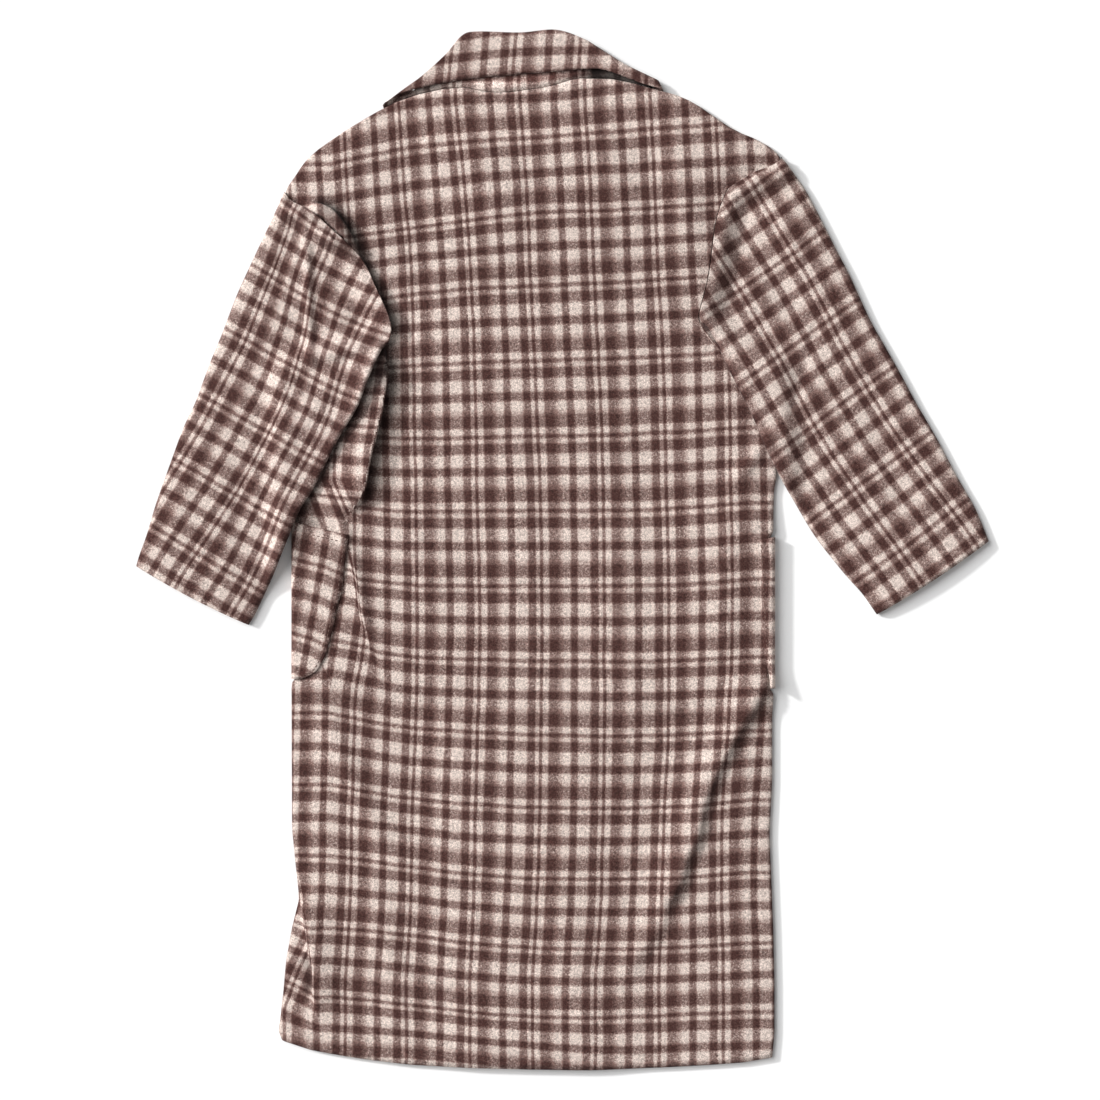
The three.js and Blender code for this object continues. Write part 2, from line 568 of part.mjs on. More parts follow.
// Pockets wrap from the front round the side fold onto the back. Visible edge on the back: y, x.
const POCKETS = {
  left: {
    name: "pocket_left", side: -1, fold: -298.6, top: 31, topIn: 16.5, bottom: -140, inner: -178,
    edge: [
      [-140, -287], [-136, -276.1], [-132, -269.4], [-124, -265.7], [-113, -260.2], [-102, -257.4],
      [-76, -250.8], [-62, -249.4], [-36, -242.6], [4, -238.2], [31, -235],
    ],
  },
  right: {
    name: "pocket_right", side: 1, fold: 234.2, top: 14, topIn: 11, bottom: -152, inner: 92,
    edge: [[-152, 231.5], [-148, 229], [-130, 225.5], [-107, 220.6], [-40, 217.4], [14, 214]],
  },
};
const POCKET_ROWS = 9;
const POCKET_FRONT_STEPS = 4;
const POCKET_BACK_STEPS = 4;
function pocket({ name, side, fold, top, topIn, bottom, inner: innerX, edge }) {
  const outer = [], inner = [];
  for (let i = 0; i < POCKET_ROWS; i++) {
    const y0 = lerp(bottom, top, i / (POCKET_ROWS - 1));
    const backX = along(edge, y0);
    const reach = Math.max(Math.abs(backX - fold), FOLD_RADIUS + 1.5);
    const slope = (d) => (topIn - top) * (i / (POCKET_ROWS - 1)) * clamp(d / Math.abs(backX - fold), 0, 1);
    const line = [], lineIn = [];
    const add = (dOut, dIn, zOut, zIn, dy) => {
      line.push(new THREE.Vector3(fold - side * dOut, y0 + dy, zOut));
      lineIn.push(new THREE.Vector3(fold - side * dIn, y0 + dy, zIn));
    };
    const frontWidth = Math.abs(innerX - fold);
    for (let k = 0; k < POCKET_FRONT_STEPS; k++) {
      const d = lerp(frontWidth, FOLD_RADIUS + 3, k / POCKET_FRONT_STEPS);
      add(d, d, 0, CLOTH, 0);
    }
    const foldTop = backTop(fold - side * 14, y0) + SEAM + 0.3 + CLOTH;
    const mid = foldTop / 2;
    for (const angle of [...FOLD_ANGLES].reverse().map((a) => -a).concat(FOLD_ANGLES.slice(1))) {
      const flat = Math.sign(angle) * Math.abs(Math.sin(angle)) ** 0.8;
      add(foldOut(angle), foldIn(angle), mid + mid * flat, mid + (mid - CLOTH) * flat, 0);
    }
    for (let k = 1; k <= POCKET_BACK_STEPS; k++) {
      const d = lerp(FOLD_RADIUS, reach, k / POCKET_BACK_STEPS);
      const dy = slope(d);
      const x = fold - side * d;
      const under = Math.max(backTop(x, y0 + dy), backTop(x - side * 4, y0 + dy));
      const z = lerp(foldTop - CLOTH, under + SEAM + 0.3, smooth(FOLD_RADIUS, 16, d));
      add(d, d, z + CLOTH, z, dy);
    }
    outer.push(line);
    inner.push(lineIn);
  }
  return solid(name, outer, inner, POCKET_TONE);
}

const group = new THREE.Group();
group.name = "coat";
group.add(
  backPanel(),
  frontPanel("front_left", -1),
  frontPanel("front_right", 1),
  sleeve(SLEEVES.left),
  sleeve(SLEEVES.right),
  wrapped("collar_leaf", LEAF_ROWS, LEAF_ACROSS, leafHeights, WOOL, true),
  wrapped("collar_stand", standRows(), STAND_ACROSS, standHeights, WOOL_DARK, false),
  pocket(POCKETS.left),
  pocket(POCKETS.right),
);

export default group;
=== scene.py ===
import math

import bpy
import numpy as np
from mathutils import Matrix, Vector


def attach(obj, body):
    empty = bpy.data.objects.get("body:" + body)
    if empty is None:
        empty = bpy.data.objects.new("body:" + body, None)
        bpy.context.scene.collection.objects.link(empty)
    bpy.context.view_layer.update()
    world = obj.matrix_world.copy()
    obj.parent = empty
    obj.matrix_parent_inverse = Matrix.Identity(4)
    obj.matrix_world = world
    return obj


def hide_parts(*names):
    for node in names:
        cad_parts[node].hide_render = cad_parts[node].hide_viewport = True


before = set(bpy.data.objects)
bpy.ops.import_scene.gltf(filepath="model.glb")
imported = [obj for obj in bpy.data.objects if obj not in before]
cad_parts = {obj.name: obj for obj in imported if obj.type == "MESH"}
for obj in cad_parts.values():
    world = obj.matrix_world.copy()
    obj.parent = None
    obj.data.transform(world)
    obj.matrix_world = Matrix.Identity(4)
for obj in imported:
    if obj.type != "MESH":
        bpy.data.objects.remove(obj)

bl_info = {
    "name": "Plaid wool coat",
    "version": (1, 0, 0),
    "blender": (4, 5, 0),
    "location": "View3D > Sidebar > Coat",
    "description": "Builds a brushed plaid wool coat laid flat on its front",
    "category": "Add Mesh",
}

# Tables are in millimetres. +Y runs from the hem to the collar, +X is the wearer's right, +Z is up.
MM = 0.001

# Camera: width of its film, height in metres of the plane that its span is measured at.
# Lights: angle in degrees, way.
SENSOR = 36
PICTURE_PLANE = 0.01
LIGHTS = {"key": (5, (0.86, -0.38, -0.41)), "wide": (50, (0.72, -0.32, -0.63))}

# Side outline of the back: y, x. The armhole runs from the underarm to the shoulder point.
LEFT_SIDE = (
    (-541, -309), (-533, -313), (-520, -311.4), (-485, -307.5), (-453, -304.8), (-416, -298.1),
    (-385, -290.4), (-372, -291.4), (-346, -294.3), (-307, -298.1), (-146, -298.7),
    (-141, -293.2), (32, -293), (38, -297.6), (190, -298),
)
LEFT_ARMHOLE = (
    (190, -298), (197, -280), (206, -250), (217, -222), (228, -202), (238, -187), (248, -187.6),
    (259, -190.9), (274, -197.5), (290, -205.2), (311, -214.2), (321, -221), (329, -227.7),
    (340, -239.3), (347.6, -248.1), (355.6, -256.9), (364.5, -265.9), (373.6, -277.1),
    (379.5, -288.3), (384, -298.7), (394.9, -306.4),
)
LEFT_SHOULDER = (
    (394.9, -306.4), (410.6, -295.4), (426.8, -284.8), (440, -271.2), (462, -239.3),
    (484, -201.5), (492.5, -184),
)
RIGHT_SIDE = (
    (-559, 231.2), (-533, 233.8), (-480, 233.8), (-419, 232.5), (-352, 229.8), (-314.6, 228.3),
    (-253.7, 231.2), (-187, 231.2), (-158, 233), (-153, 228), (14, 228.6), (20, 232.3),
    (65, 233.3), (84, 236.5), (110, 236), (150, 232), (190, 226),
)
RIGHT_ARMHOLE = (
    (190, 226), (197, 214), (207, 196), (220, 176), (236, 160), (250, 151), (257.7, 149.1),
    (272.8, 153.1), (293.8, 158.7), (310.8, 161.5), (338.8, 165), (355.6, 167.1),
    (372.5, 171.1), (387.9, 177), (397.7, 181), (403.7, 190.9), (410.3, 201.9), (417.3, 210.7),
    (421, 227.2), (426, 236), (432.7, 241.5),
)
RIGHT_SHOULDER = (
    (432.7, 241.5), (445.5, 226.6), (455.4, 207.9), (460.4, 192), (488.4, 151.3), (500, 130),
    (507.5, 99),
)
LEFT_EDGE = LEFT_SIDE + LEFT_ARMHOLE[1:] + LEFT_SHOULDER[1:]
RIGHT_EDGE = RIGHT_SIDE + RIGHT_ARMHOLE[1:] + RIGHT_SHOULDER[1:]

# Underarm, tip of the laid-over sleeve and shoulder point of each side, as y
LEFT_MARKS = {"underarm": 190, "tip": 238, "shoulder": 394.9}
RIGHT_MARKS = {"underarm": 190, "tip": 257.7, "shoulder": 432.7}

# Hem and neck seam: x, y
HEM = (
    (-313, -538), (-308.6, -540.5), (-276.7, -550.9), (-239.5, -557.7), (-212.9, -561.6),
    (-167.8, -566.9), (-106.2, -570.1), (-39.5, -571.7), (13.8, -572.6), (38, -572.6),
    (117.9, -569.6), (165.6, -566.9), (197.5, -564.6), (231.2, -559),
)
NECK = (
    (-184, 492.5), (-160, 501), (-130, 507.5), (-108, 509), (-87.5, 504.9), (-72, 503.4),
    (-57.8, 503.8), (-42.8, 506), (-23.7, 508.4), (-8.8, 511.5), (6.1, 516.5), (16.5, 519),
    (54.5, 518.2), (79.8, 513), (99, 507.5),
)
HEM_ENDS = (-540.5, -559)
NECK_ENDS = (492.5, 507.5)

# Sections of the body: left y, right y, share of the hem curve, share of the neck curve
BODY_ROWS = (
    (-540.5, -559, 1, 0), (-524, -535, 0.75, 0), (-485, -485, 0.4, 0), (-450, -450, 0.15, 0),
    (-414, -415, 0, 0), (-385, -385, 0, 0), (-310, -310, 0, 0), (-220, -220, 0, 0),
    (-180, -185, 0, 0), (-146, -158, 0, 0), (-141, -153, 0, 0), (-74, -80, 0, 0),
    (0, -10, 0, 0), (32, 14, 0, 0), (38, 20, 0, 0), (104, 90, 0, 0), (168, 164, 0, 0),
    (190, 190, 0, 0), (206, 207, 0, 0), (222, 232, 0, 0), (238, 257.7, 0, 0), (262, 290, 0, 0),
    (290, 320, 0, 0), (321, 350, 0, 0), (342, 376, 0, 0), (358, 398, 0, 0), (370, 409, 0, 0),
    (381, 419, 0, 0), (387, 426, 0, 0), (394.9, 432.7, 0, 0), (411, 444, 0, 0.1),
    (434, 458, 0, 0.25), (462, 476, 0, 0.5), (482, 495, 0, 0.85), (492.5, 507.5, 0, 1),
)

# How far in from an edge the folds may lean and the back puffs up, and where puff and lap end
LEAN_IN = (2, 12)
PUFF_IN = (0, 45)
HEM_ROOM = 8
PUFF_TOP = (440, 495)
LAP_OUT = (9, 24)
LAP_TOP = (445, 470)

# Where a side becomes an armhole and a shoulder, and the rise of the back at the shoulders
UNDERARM_BLEND = (-2, 14)
SHOULDER_BLEND = -2
SHOULDER_RISE = {"height": 0.25, "reach": 4}

# Grid of the back in steps: rows and columns, finer between two heights and in a strip at the left
BACK_GRID = {
    "low": 30, "high": 400, "fine_row": 0.55, "row": 1.6, "strip": 135, "fine_column": 0.4,
    "column": 1.1,
}

# Angles of a folded edge, from the outermost point to the top
QUARTER = np.linspace(0, math.pi / 2, 7)

# Where something lies under the fronts and lifts them
LIFTS = (
    {"x": -40, "half": 176, "low": 366, "high": 700, "ramp_x": 26, "ramp_y": 22},
    {"x": -240, "half": 67, "low": -146, "high": 34, "ramp_x": 22, "ramp_y": 10},
    {"x": 160, "half": 73, "low": -154, "high": 22, "ramp_x": 22, "ramp_y": 10},
)

# Folds of the back: path downwards, reach left, reach right, height, fade at the ends, lean right,
# depth of the painted shade at its foot. The share of the fade that lies within a fold, and the
# painted shade's own ramp.
FOLDS = (
    (((-191, 212), (-192, 189), (-198, 152), (-204, 126), (-211, 100), (-214, 80), (-219, 56)),
     26, 6, 14, 26, 12, 0.72),
    (((-270, 381), (-253, 373), (-243, 362), (-233, 346), (-225, 330), (-216, 311), (-205, 286),
      (-194, 258), (-189, 240)), 12, 6, 12, 12, 7, 0.78),
    (((-246, 36), (-238, 14), (-231, -2), (-225, -29), (-219, -69), (-212, -90)),
     6, 6, 1.8, 22, 0, 0.1),
    (((-287.5, -386), (-284, -402), (-281, -418), (-278, -438), (-274, -458), (-273, -478),
      (-272, -500)), 5, 20, 4.5, 16, -3, 0),
    (((-256, -198), (-226, -267), (-200, -320), (-162, -352), (-119, -368)), 13, 15, 2.4, 40, 0, 0),
    (((224, -152), (211, -172), (198, -192), (178, -228), (164, -256), (153, -288), (149, -315),
      (135, -343), (131, -363), (117, -384)), 24, 7, 6, 26, 4, 0.3),
    (((117, -384), (108, -413), (93, -434), (79, -456)), 22, 8, 3, 40, 1, 0.12),
    (((237, 134), (216, 108), (196, 82)), 8, 7, 2.8, 22, 0, 0),
    (((120, 440), (150, 300)), 18, 22, 1.6, 60, 0, 0),
    (((-120, 470), (-60, 380)), 24, 24, 1.4, 60, 0, 0),
    (((-170, 180), (-150, -60)), 22, 26, 1.2, 70, 0, 0),
    (((-60, 120), (-20, -180)), 30, 26, 0.8, 80, 0, 0),
    (((60, 60), (90, -210)), 24, 30, 0.9, 80, 0, 0),
    (((-30, -300), (20, -520)), 26, 24, 0.9, 70, 0, 0),
    (((-200, -380), (-180, -540)), 18, 22, 1.2, 60, 0, 0),
    (((190, 60), (170, -110)), 18, 22, 1.1, 60, 0, 0),
    (((30, 470), (80, 360)), 22, 20, 1.0, 50, 0, 0),
)
FADE_IN = 0.5
FOLD_FOOT_SHADE = {"start": -4, "full": 1, "reach": 12}

# Depth of painted shade beside the left sleeve, along other paths (path, depth, reach) and round
# folded edges
SLEEVE_PAINTED_SHADE = {"shade_depth": 0.55, "reach": 7, "start": -8, "full": 4, "across": -20}
PAINTED_SHADE_PATHS = (
    (((-281, -446), (-279, -470), (-279, -490)), 0.5, 7),
    (((-268, 376), (-254, 366), (-240, 351), (-229, 337)), 0.42, 9),
    (((-196, 226), (-204, 205), (-214, 184)), 0.5, 11),
)
EDGE_PAINTED_SHADE = 0.4

# Cloth dragged out of line left of a fold: number of the fold, width, ramp, tilt of the weft, then
# y, drag left, drag up
DRAGS = (
    {"fold": 0, "width": 70, "ramp": 0.1, "tilt": 0, "rows": (
        (11, 0, 0), (27, 2, 2), (55, 13, 10), (77, 22, 11), (110, 21, 11), (165, 10, 11),
        (231, 0, 0),
    )},
    {"fold": 2, "width": 60, "ramp": 7, "tilt": 0, "rows": (
        (-172, 0, 0), (-150, -2, 1), (-127, -6, 2), (-96, -10, 1), (-70, -14, 5), (-45, -18, 7),
        (-20, -14, 6), (0, -8, 3), (14, 0, 0),
    )},
    {"fold": 3, "width": 60, "ramp": 4, "tilt": 0.5, "rows": (
        (-560, 0, 0), (-505, 0, 0), (-440, -24, 0), (-400, -38, 0), (-360, -50, 0),
    )},
)

# Sleeves. One row per section: outer edge x, y and inner edge x, y, shoulder to cuff.
LEFT_SLEEVE = (
    (-306.4, 394.9, -186.5, 238), (-309, 390, -189, 228), (-316, 373, -196.5, 222),
    (-327.3, 349.8, -205, 205), (-343.8, 314.6, -214, 184), (-359.2, 280.5, -225, 156),
    (-375.7, 237.6, -243, 127), (-388.9, 205.7, -257.4, 100.1), (-404.8, 162.8, -274, 67),
    (-418.6, 133.1, -288.5, 43), (-435.1, 88, -304.2, 5.1), (-448.3, 50.6, -316, -23),
    (-458.8, 15.7, -328, -48), (-466.5, -5.5, -338.5, -70), (-470, -17.6, -346, -82.5),
)
RIGHT_SLEEVE = (
    (241.5, 432.7, 149.1, 257.7), (246, 428, 152, 250), (256, 414, 161, 242),
    (268, 396.5, 170, 226), (285.2, 364.3, 181, 202), (302, 331, 194.6, 175.1),
    (317, 302, 208, 149), (338.5, 255.2, 223, 113), (358, 220.4, 241, 77), (375, 190, 256, 52),
    (390, 162, 277, 17), (411.5, 125, 296, -8), (436, 79.2, 314, -30), (455, 46, 330.6, -48.4),
    (470, 10, 346.5, -71),
)

# How a sleeve lies: gap at the armhole, tuck past the back's edge, seam, room inside, bow of the
# cuff and ramps down beside the body
SLEEVE_WIDTH = 170
SLEEVE = {
    "gap": 0.6, "tuck": 8, "less": 6, "tuck_reach": 20, "under_row": 6, "seam_end": 0.22,
    "seam_rise": 3.2, "seam_top": 0.6, "seam_round": 0.95, "room": 1.4, "bow": 12, "bow_start": 0.8,
    "low_ramp": (7, 22), "high_ramp": (7, 34),
}
OVER_POCKET = {"height": 6.2, "low": 44, "high": 64, "x": -299.5}

# Creases of a sleeve: share along and across at each end, reach, height
SLEEVES = {
    -1: {
        "name": "sleeve_left", "table": LEFT_SLEEVE, "marks": LEFT_MARKS, "edge": LEFT_EDGE,
        "seam_flat": 0.55,
        "creases": (
            (0.0, 0.02, 0.21, 0.38, 0.03, 5.6), (0.21, 0.38, 0.36, 0.62, 0.035, 4.2),
            (0.02, 0.12, 0.3, 0.2, 0.05, -1.5),
            (0.1, 0.62, 0.4, 0.78, 0.08, 1.2), (0.3, 0.86, 0.5, 0.7, 0.07, 1.3),
            (0.62, 0.45, 0.8, 0.75, 0.09, -1.4), (0.55, 0.12, 0.9, 0.2, 0.06, 0.9),
        ),
    },
    1: {
        "name": "sleeve_right", "table": RIGHT_SLEEVE, "marks": RIGHT_MARKS, "edge": RIGHT_EDGE,
        "seam_flat": 0.38,
        "creases": (
            (0.05, 0.3, 0.3, 0.2, 0.08, 1.6), (0.3, 0.8, 0.55, 0.55, 0.08, 1.4),
            (0.1, 0.5, 0.4, 0.42, 0.15, -2.6),
            (0.42, 0.3, 0.5, 0.75, 0.06, -1.4), (0.6, 0.25, 0.85, 0.4, 0.09, -1.4),
            (0.15, 0.7, 0.45, 0.45, 0.07, 1.1), (0.7, 0.7, 0.95, 0.6, 0.08, 0.9),
        ),
    },
}

# Neckline of the fronts: distance out from the centre, y there, y of the shoulder edge
NECKLINE = {
    -1: ((-40, 420, 403), (5, 426, 411), (42, 434, 434), (84, 454, 462), (118, 476, 482),
         (141, 490, 492.5)),
    1: ((-40, 420, 438), (5, 426, 444), (43, 434, 458), (83, 454, 476), (119, 476, 495),
        (134, 499, 501)),
}
FRONT_COLUMNS = {
    -1: (-294, -284, -236, -208, -173, -150, -122, -96, -80, -33),
    1: (229, 216, 158, 127, 86, 64, 30, 0, -33, -60),
}
FRONT_EDGE_STEPS = (0, 0.7, 2, 3.8)
FRONT = {"start": 4.5, "curl": 6, "shift": 12, "between": 4, "neck_step": 3}

# Collar leaf: roll x, y, edge x, y, side of the fold (-1 front, 0 fold, 1 back)
LEAF_LEFT = (
    (-38, 446, -78, 376, -1), (-75, 456, -122, 384, -1), (-115, 476, -162, 412, -1),
    (-150, 497, -186, 456, -1), (-170, 510.4, -198, 490, 0),
)
LEAF_BACK = (
    (-152.8, 522.5, -181, 501.5, 1), (-127.5, 546.7, -158, 508, 1),
    (-110.6, 566.5, -132.6, 513.2, 1), (-93.4, 570.9, -98, 518.5, 1),
    (-46.8, 569.8, -55.6, 522.5, 1), (-7.6, 572.9, -12.7, 525.8, 1), (22.6, 563.2, 20, 528.5, 1),
    (41.3, 552.2, 41.3, 529.1, 1), (67.7, 535.6, 63.3, 522.5, 1), (88, 525.5, 84, 514.5, 1),
)
LEAF_RIGHT = (
    (106, 517, 111, 506.5, 0), (86, 498, 117, 466, -1), (50, 476, 92, 414, -1),
    (10, 456, 52, 384, -1), (-28, 446, 12, 376, -1),
)
# Rolled edge of the leaf: distance in on its outer face, on its inner face past the cloth, rise
LEAF_ROLL = ((0, 0, 0.42), (0.5, 0.4, 0.6), (1.2, 0.7, 0.75), (2, 1, 0.86), (3, 1.4, 0.94))
LEAF_STEPS = 12
LEAF_RUFFLE = 0.35

# Waves of a ruffled edge: size, rate, start
RUFFLE = ((1, 0.83, 0), (0.6, 1.61, 1.2), (0.5, 0.31, 2))

# Most of a band's depth that its edge, its roll and its bends take up
BAND = {"edge": 0.3, "roll": 0.35, "bend": 0.8}

# Painted shade along the stand, darkest at the ends under the leaf: x, tone
STAND_SHADE = (
    (-200, 0.08), (-140, 0.3), (-114, 0.8), (-90, 1), (-10, 1), (12, 0.7), (34, 0.06), (200, 0.04),
)
STAND = {
    "inset": 3.2, "front_gap": 0.3, "back_gap": 0.5, "least": 3, "slant": 7, "slant_from": 60,
    "slant_to": 110, "middle": -45, "left": -160, "right": 92, "points": 90, "steps": 6,
    "shift": (0.02, -0.02),
}
STAND_FOLD = {-1: (-164, 506.5, -176, 496.5, 0), 1: (97.5, 514.5, 99.5, 509, 0)}

# Pockets wrap round the side fold onto the back. Edge on the back: y, x.
POCKETS = {
    -1: {
        "name": "pocket_left", "fold": -298.6, "top": 31, "top_in": 16.5, "bottom": -142,
        "inner": -178, "tilt": 0.24, "pivot": -262,
        "drag": (
            (-142, 26, -2.5), (-124, 23.6, -1.4), (-90, 17.6, 1.4), (-66, 13.3, 4.8),
            (-43, 9.2, 6.5), (-12, 3.6, 8.6), (14, -1, 12), (31, -4, 13),
        ),
        "edge": (
            (-142, -287), (-137, -276.1), (-132, -269.4), (-124, -265.7), (-113, -260.2),
            (-102, -257.4), (-76, -250.8), (-62, -249.4), (-36, -242.6), (4, -238.2), (31, -235),
        ),
    },
    1: {
        "name": "pocket_right", "fold": 234.2, "top": 14, "top_in": 11, "bottom": -152,
        "inner": 92, "tilt": 0, "pivot": 0, "drag": ((-152, 0, 0), (14, 0, 0)),
        "edge": (
            (-152, 231.5), (-148, 229), (-130, 225.5), (-107, 220.6), (-40, 217.4), (14, 214),
        ),
    },
}

# How a pocket lies: its grid, start of its front, gap over the back, reach in which it settles on
# the back and by which its sewn edge is pressed, and the size of its stitches
POCKET = {
    "rows": 40, "front_steps": 12, "back_steps": 16, "rounding": 3, "least": 1.5, "start": 3,
    "gap": 0.3, "beside_fold": 14, "beside": 4, "fold_power": 0.8, "settle": 16, "pressed": 0.5,
    "press_reach": 7,
}
STITCH = {
    "from_edge": 4, "from_top": 9, "pitch": 5.2, "length": 3.6, "radius": 0.5, "sides": 6,
    "taper": 0.22,
}

# Warp: y, then x of each line. Weft: x, then y of each line.
BACK_WARP = (
    (-473, -312, -245, -178, -108, -39, 30, 100, 171, 240),
    (-385, -306, -239, -172, -104, -34, 37, 103, 169, 237),
    (-297, -305, -238, -172, -102, -31, 39, 106, 169, 237),
    (-209, -304, -235, -168, -100, -30, 40, 111, 175, 245),
    (-121, -302, -234, -166, -97, -29, 40, 111, 180, 249),
    (-33, -302, -234, -166, -97, -29, 40, 111, 181, 250),
    (55, -302, -235, -167, -100, -30, 39, 108, 179, 248),
    (143, -302, -236, -169, -101, -34, 37, 106, 178, 247),
    (231, -302, -237, -170, -103, -38, 32, 104, 177, 246),
    (319, -302, -238, -172, -107, -42, 28, 98, 169, 238),
    (407, -306, -243, -181, -114, -46, 24, 95, 166, 235),
    (495, -313, -247, -186, -124, -53, 18, 90, 162, 230),
)
BACK_WEFT = (
    (-256, 435, 350, 273, 206, 138, 59, -18, -92, -170, -249, -327, -407, -483, -557),
    (-179, 452, 361, 290, 211, 131, 51, -29, -108, -186, -264, -338, -413, -491, -559),
    (-102, 460, 371, 297, 216, 133, 52, -30, -111, -191, -271, -348, -424, -501, -565),
    (-25, 463, 381, 300, 218, 135, 53, -30, -112, -194, -274, -353, -429, -506, -574),
    (52, 470, 382, 304, 220, 136, 53, -30, -113, -196, -275, -353, -431, -506, -583),
    (129, 476, 387, 309, 224, 140, 55, -29, -112, -194, -274, -352, -429, -502, -581),
    (206, 482, 393, 315, 229, 145, 62, -22, -108, -190, -266, -346, -424, -499, -579),
)

# Check of a sleeve, in a frame turned by its grain: origin x, y, turn in degrees, then the lines.
# Warp: distance down, then place across of each line. Weft: place across, then distance down.
SLEEVE_CHECKS = {
    -1: {
        "origin": (-321.75, 165), "turn": 27.5,
        "warp": (
            (-220, -145, -79, -26, 47, 117), (-176, -141, -73, -25, 47, 117),
            (-132, -135, -66, -23, 44, 114), (-88, -133, -64, -4, 46, 116),
            (-44, -129, -59, 6, 55, 125), (0, -129, -60, 12, 64, 130),
            (44, -129, -59, 11, 60, 128), (88, -130, -60, 11, 60, 128),
            (132, -134, -65, 7, 65, 133), (176, -136, -66, 2, 68, 136),
            (220, -138, -68, -3, 66, 134),
        ),
        "weft": (
            (-88, -290, -210, -132, -57, 20, 97, 173, 250),
            (-44, -282, -199, -129, -55.5, 21.5, 98, 174, 250),
            (0, -282, -199, -125.5, -53.5, 22, 100, 177, 253),
            (44, -282, -199, -126, -51, 25, 103, 180, 256),
            (88, -290, -210, -134, -54.5, 25, 103, 182, 258),
        ),
    },
    1: {
        "origin": (294.25, 165), "turn": -32,
        "warp": (
            (-220, -103, -27, 47, 120), (-176, -101, -26, 45, 118), (-132, -100, -26, 46, 119),
            (-88, -100, -27.5, 42, 113), (-44, -101, -31, 37.5, 109), (0, -103, -35, 36, 107),
            (44, -106, -36, 35, 106), (88, -105, -35, 36, 107), (132, -103, -33, 40, 111),
            (176, -99, -29, 44, 115), (220, -97, -26.5, 46, 117),
        ),
        "weft": (
            (-88, -244, -165, -76.5, 9, 92.5, 174, 258),
            (-44, -247, -165.5, -79, 5.5, 88.5, 173, 257),
            (0, -250, -166, -82, 1, 85, 170, 254), (44, -252, -167, -86, -2, 81.5, 165, 249),
            (88, -255, -171.5, -87, -4, 77.5, 162, 246),
        ),
    },
}

# Check of the collar leaf as on its back: warp lines, then the height of the first weft line
LEAF_WARP = (
    (500, -275, -202, -133, -63, 9, 85, 160), (570, -265, -195, -126, -57, 14, 88, 160),
)
LEAF_WEFT = (
    (-260, 571, 491, 411), (-130, 586, 506, 426), (-60, 594, 514, 434), (0, 596, 516, 436),
    (40, 597, 517, 437), (110, 590, 510, 430),
)

# Tone of the yarn across one repeat: place in forty-eighths, from brown 0 to cream 1
REPEAT = 48
WARP_TONES = (
    (0, 0.35), (0.5, 0.92), (2.6, 0.92), (3.2, 0.2), (3.7, 0.05), (5.1, 0.05), (5.9, 0.9), (6.6, 1),
    (9.3, 1), (10.3, 0.35), (11, 0), (16.2, 0), (18, 0.28), (20.2, 0.66), (22, 1), (26, 1),
    (26.9, 0.4), (27.7, 0), (31.4, 0), (32.2, 0.45), (33.1, 1), (41, 1), (42, 0.45), (42.9, 0),
    (47.3, 0), (48, 0.35),
)
WEFT_TONES = (
    (0, 0.4), (0.7, 0.94), (3.6, 0.96), (4.4, 0.45), (5, 0.07), (6.4, 0.07), (7.1, 0.5),
    (7.8, 0.9), (9.3, 0.84), (10.2, 0.35), (10.9, 0), (15.8, 0), (16.7, 0.45), (17.6, 1),
    (23.7, 1), (24.8, 0.75), (25.6, 0.32), (26.3, 0), (30.1, 0), (31, 0.5), (31.9, 1),
    (36, 1), (37.6, 0.65), (39.3, 0.42), (40.5, 0.08), (41.4, 0), (46.9, 0), (47.5, 0.15),
    (48, 0.4),
)


def smooth(low, high, value):
    t = np.clip((np.asarray(value, float) - low) / (high - low), 0, 1)
    return t * t * (3 - 2 * t)


def lerp(a, b, t):
    return a + (b - a) * t


def fading(distance, reach):
    return np.exp(-((np.maximum(distance, 0) / reach) ** 2))


class Curve:
    """A line through rows of key and value, with its corners rounded over a reach."""

    STEP = 0.5

    def __init__(self, rows, reach=0.0):
        self.keys, self.values = np.array(rows, float).T
        if reach:
            edge = 4 * reach
            keys = np.arange(self.keys[0] - edge, self.keys[-1] + edge, self.STEP)
            values = np.interp(keys, self.keys, self.values)
            first = (self.values[1] - self.values[0]) / (self.keys[1] - self.keys[0])
            last = (self.values[-1] - self.values[-2]) / (self.keys[-1] - self.keys[-2])
            values += first * np.minimum(keys - self.keys[0], 0)
            values += last * np.maximum(keys - self.keys[-1], 0)
            near = np.arange(-3 * reach, 3 * reach + self.STEP, self.STEP)
            kernel = np.exp(-0.5 * (near / reach) ** 2)
            values = np.convolve(values, kernel / kernel.sum(), "same")
            inside = (keys >= self.keys[0]) & (keys <= self.keys[-1])
            self.keys, self.values = keys[inside], values[inside]

    def __call__(self, key):
        return np.interp(key, self.keys, self.values)


class Chart:
    """Numbers the repeats of the check across one of its directions from charted lines."""

    REACH = 22

    def __init__(self, rows, first):
        keys = [row[0] for row in rows]
        self.first = first
        self.lines = [
            Curve(list(zip(keys, values)), self.REACH) for values in zip(*[row[1:] for row in rows])
        ]

    def __call__(self, key, value):
        places = np.stack([line(key) for line in self.lines])
        rising = places[-1] > places[0]
        sign = np.where(rising, 1, -1)
        places, value = places * sign, value * sign
        index = np.clip((places <= value).sum(0) - 1, 0, len(self.lines) - 2)
        low = np.take_along_axis(places, index[None], 0)[0]
        high = np.take_along_axis(places, index[None] + 1, 0)[0]
        return self.first + index + (value - low) / (high - low)


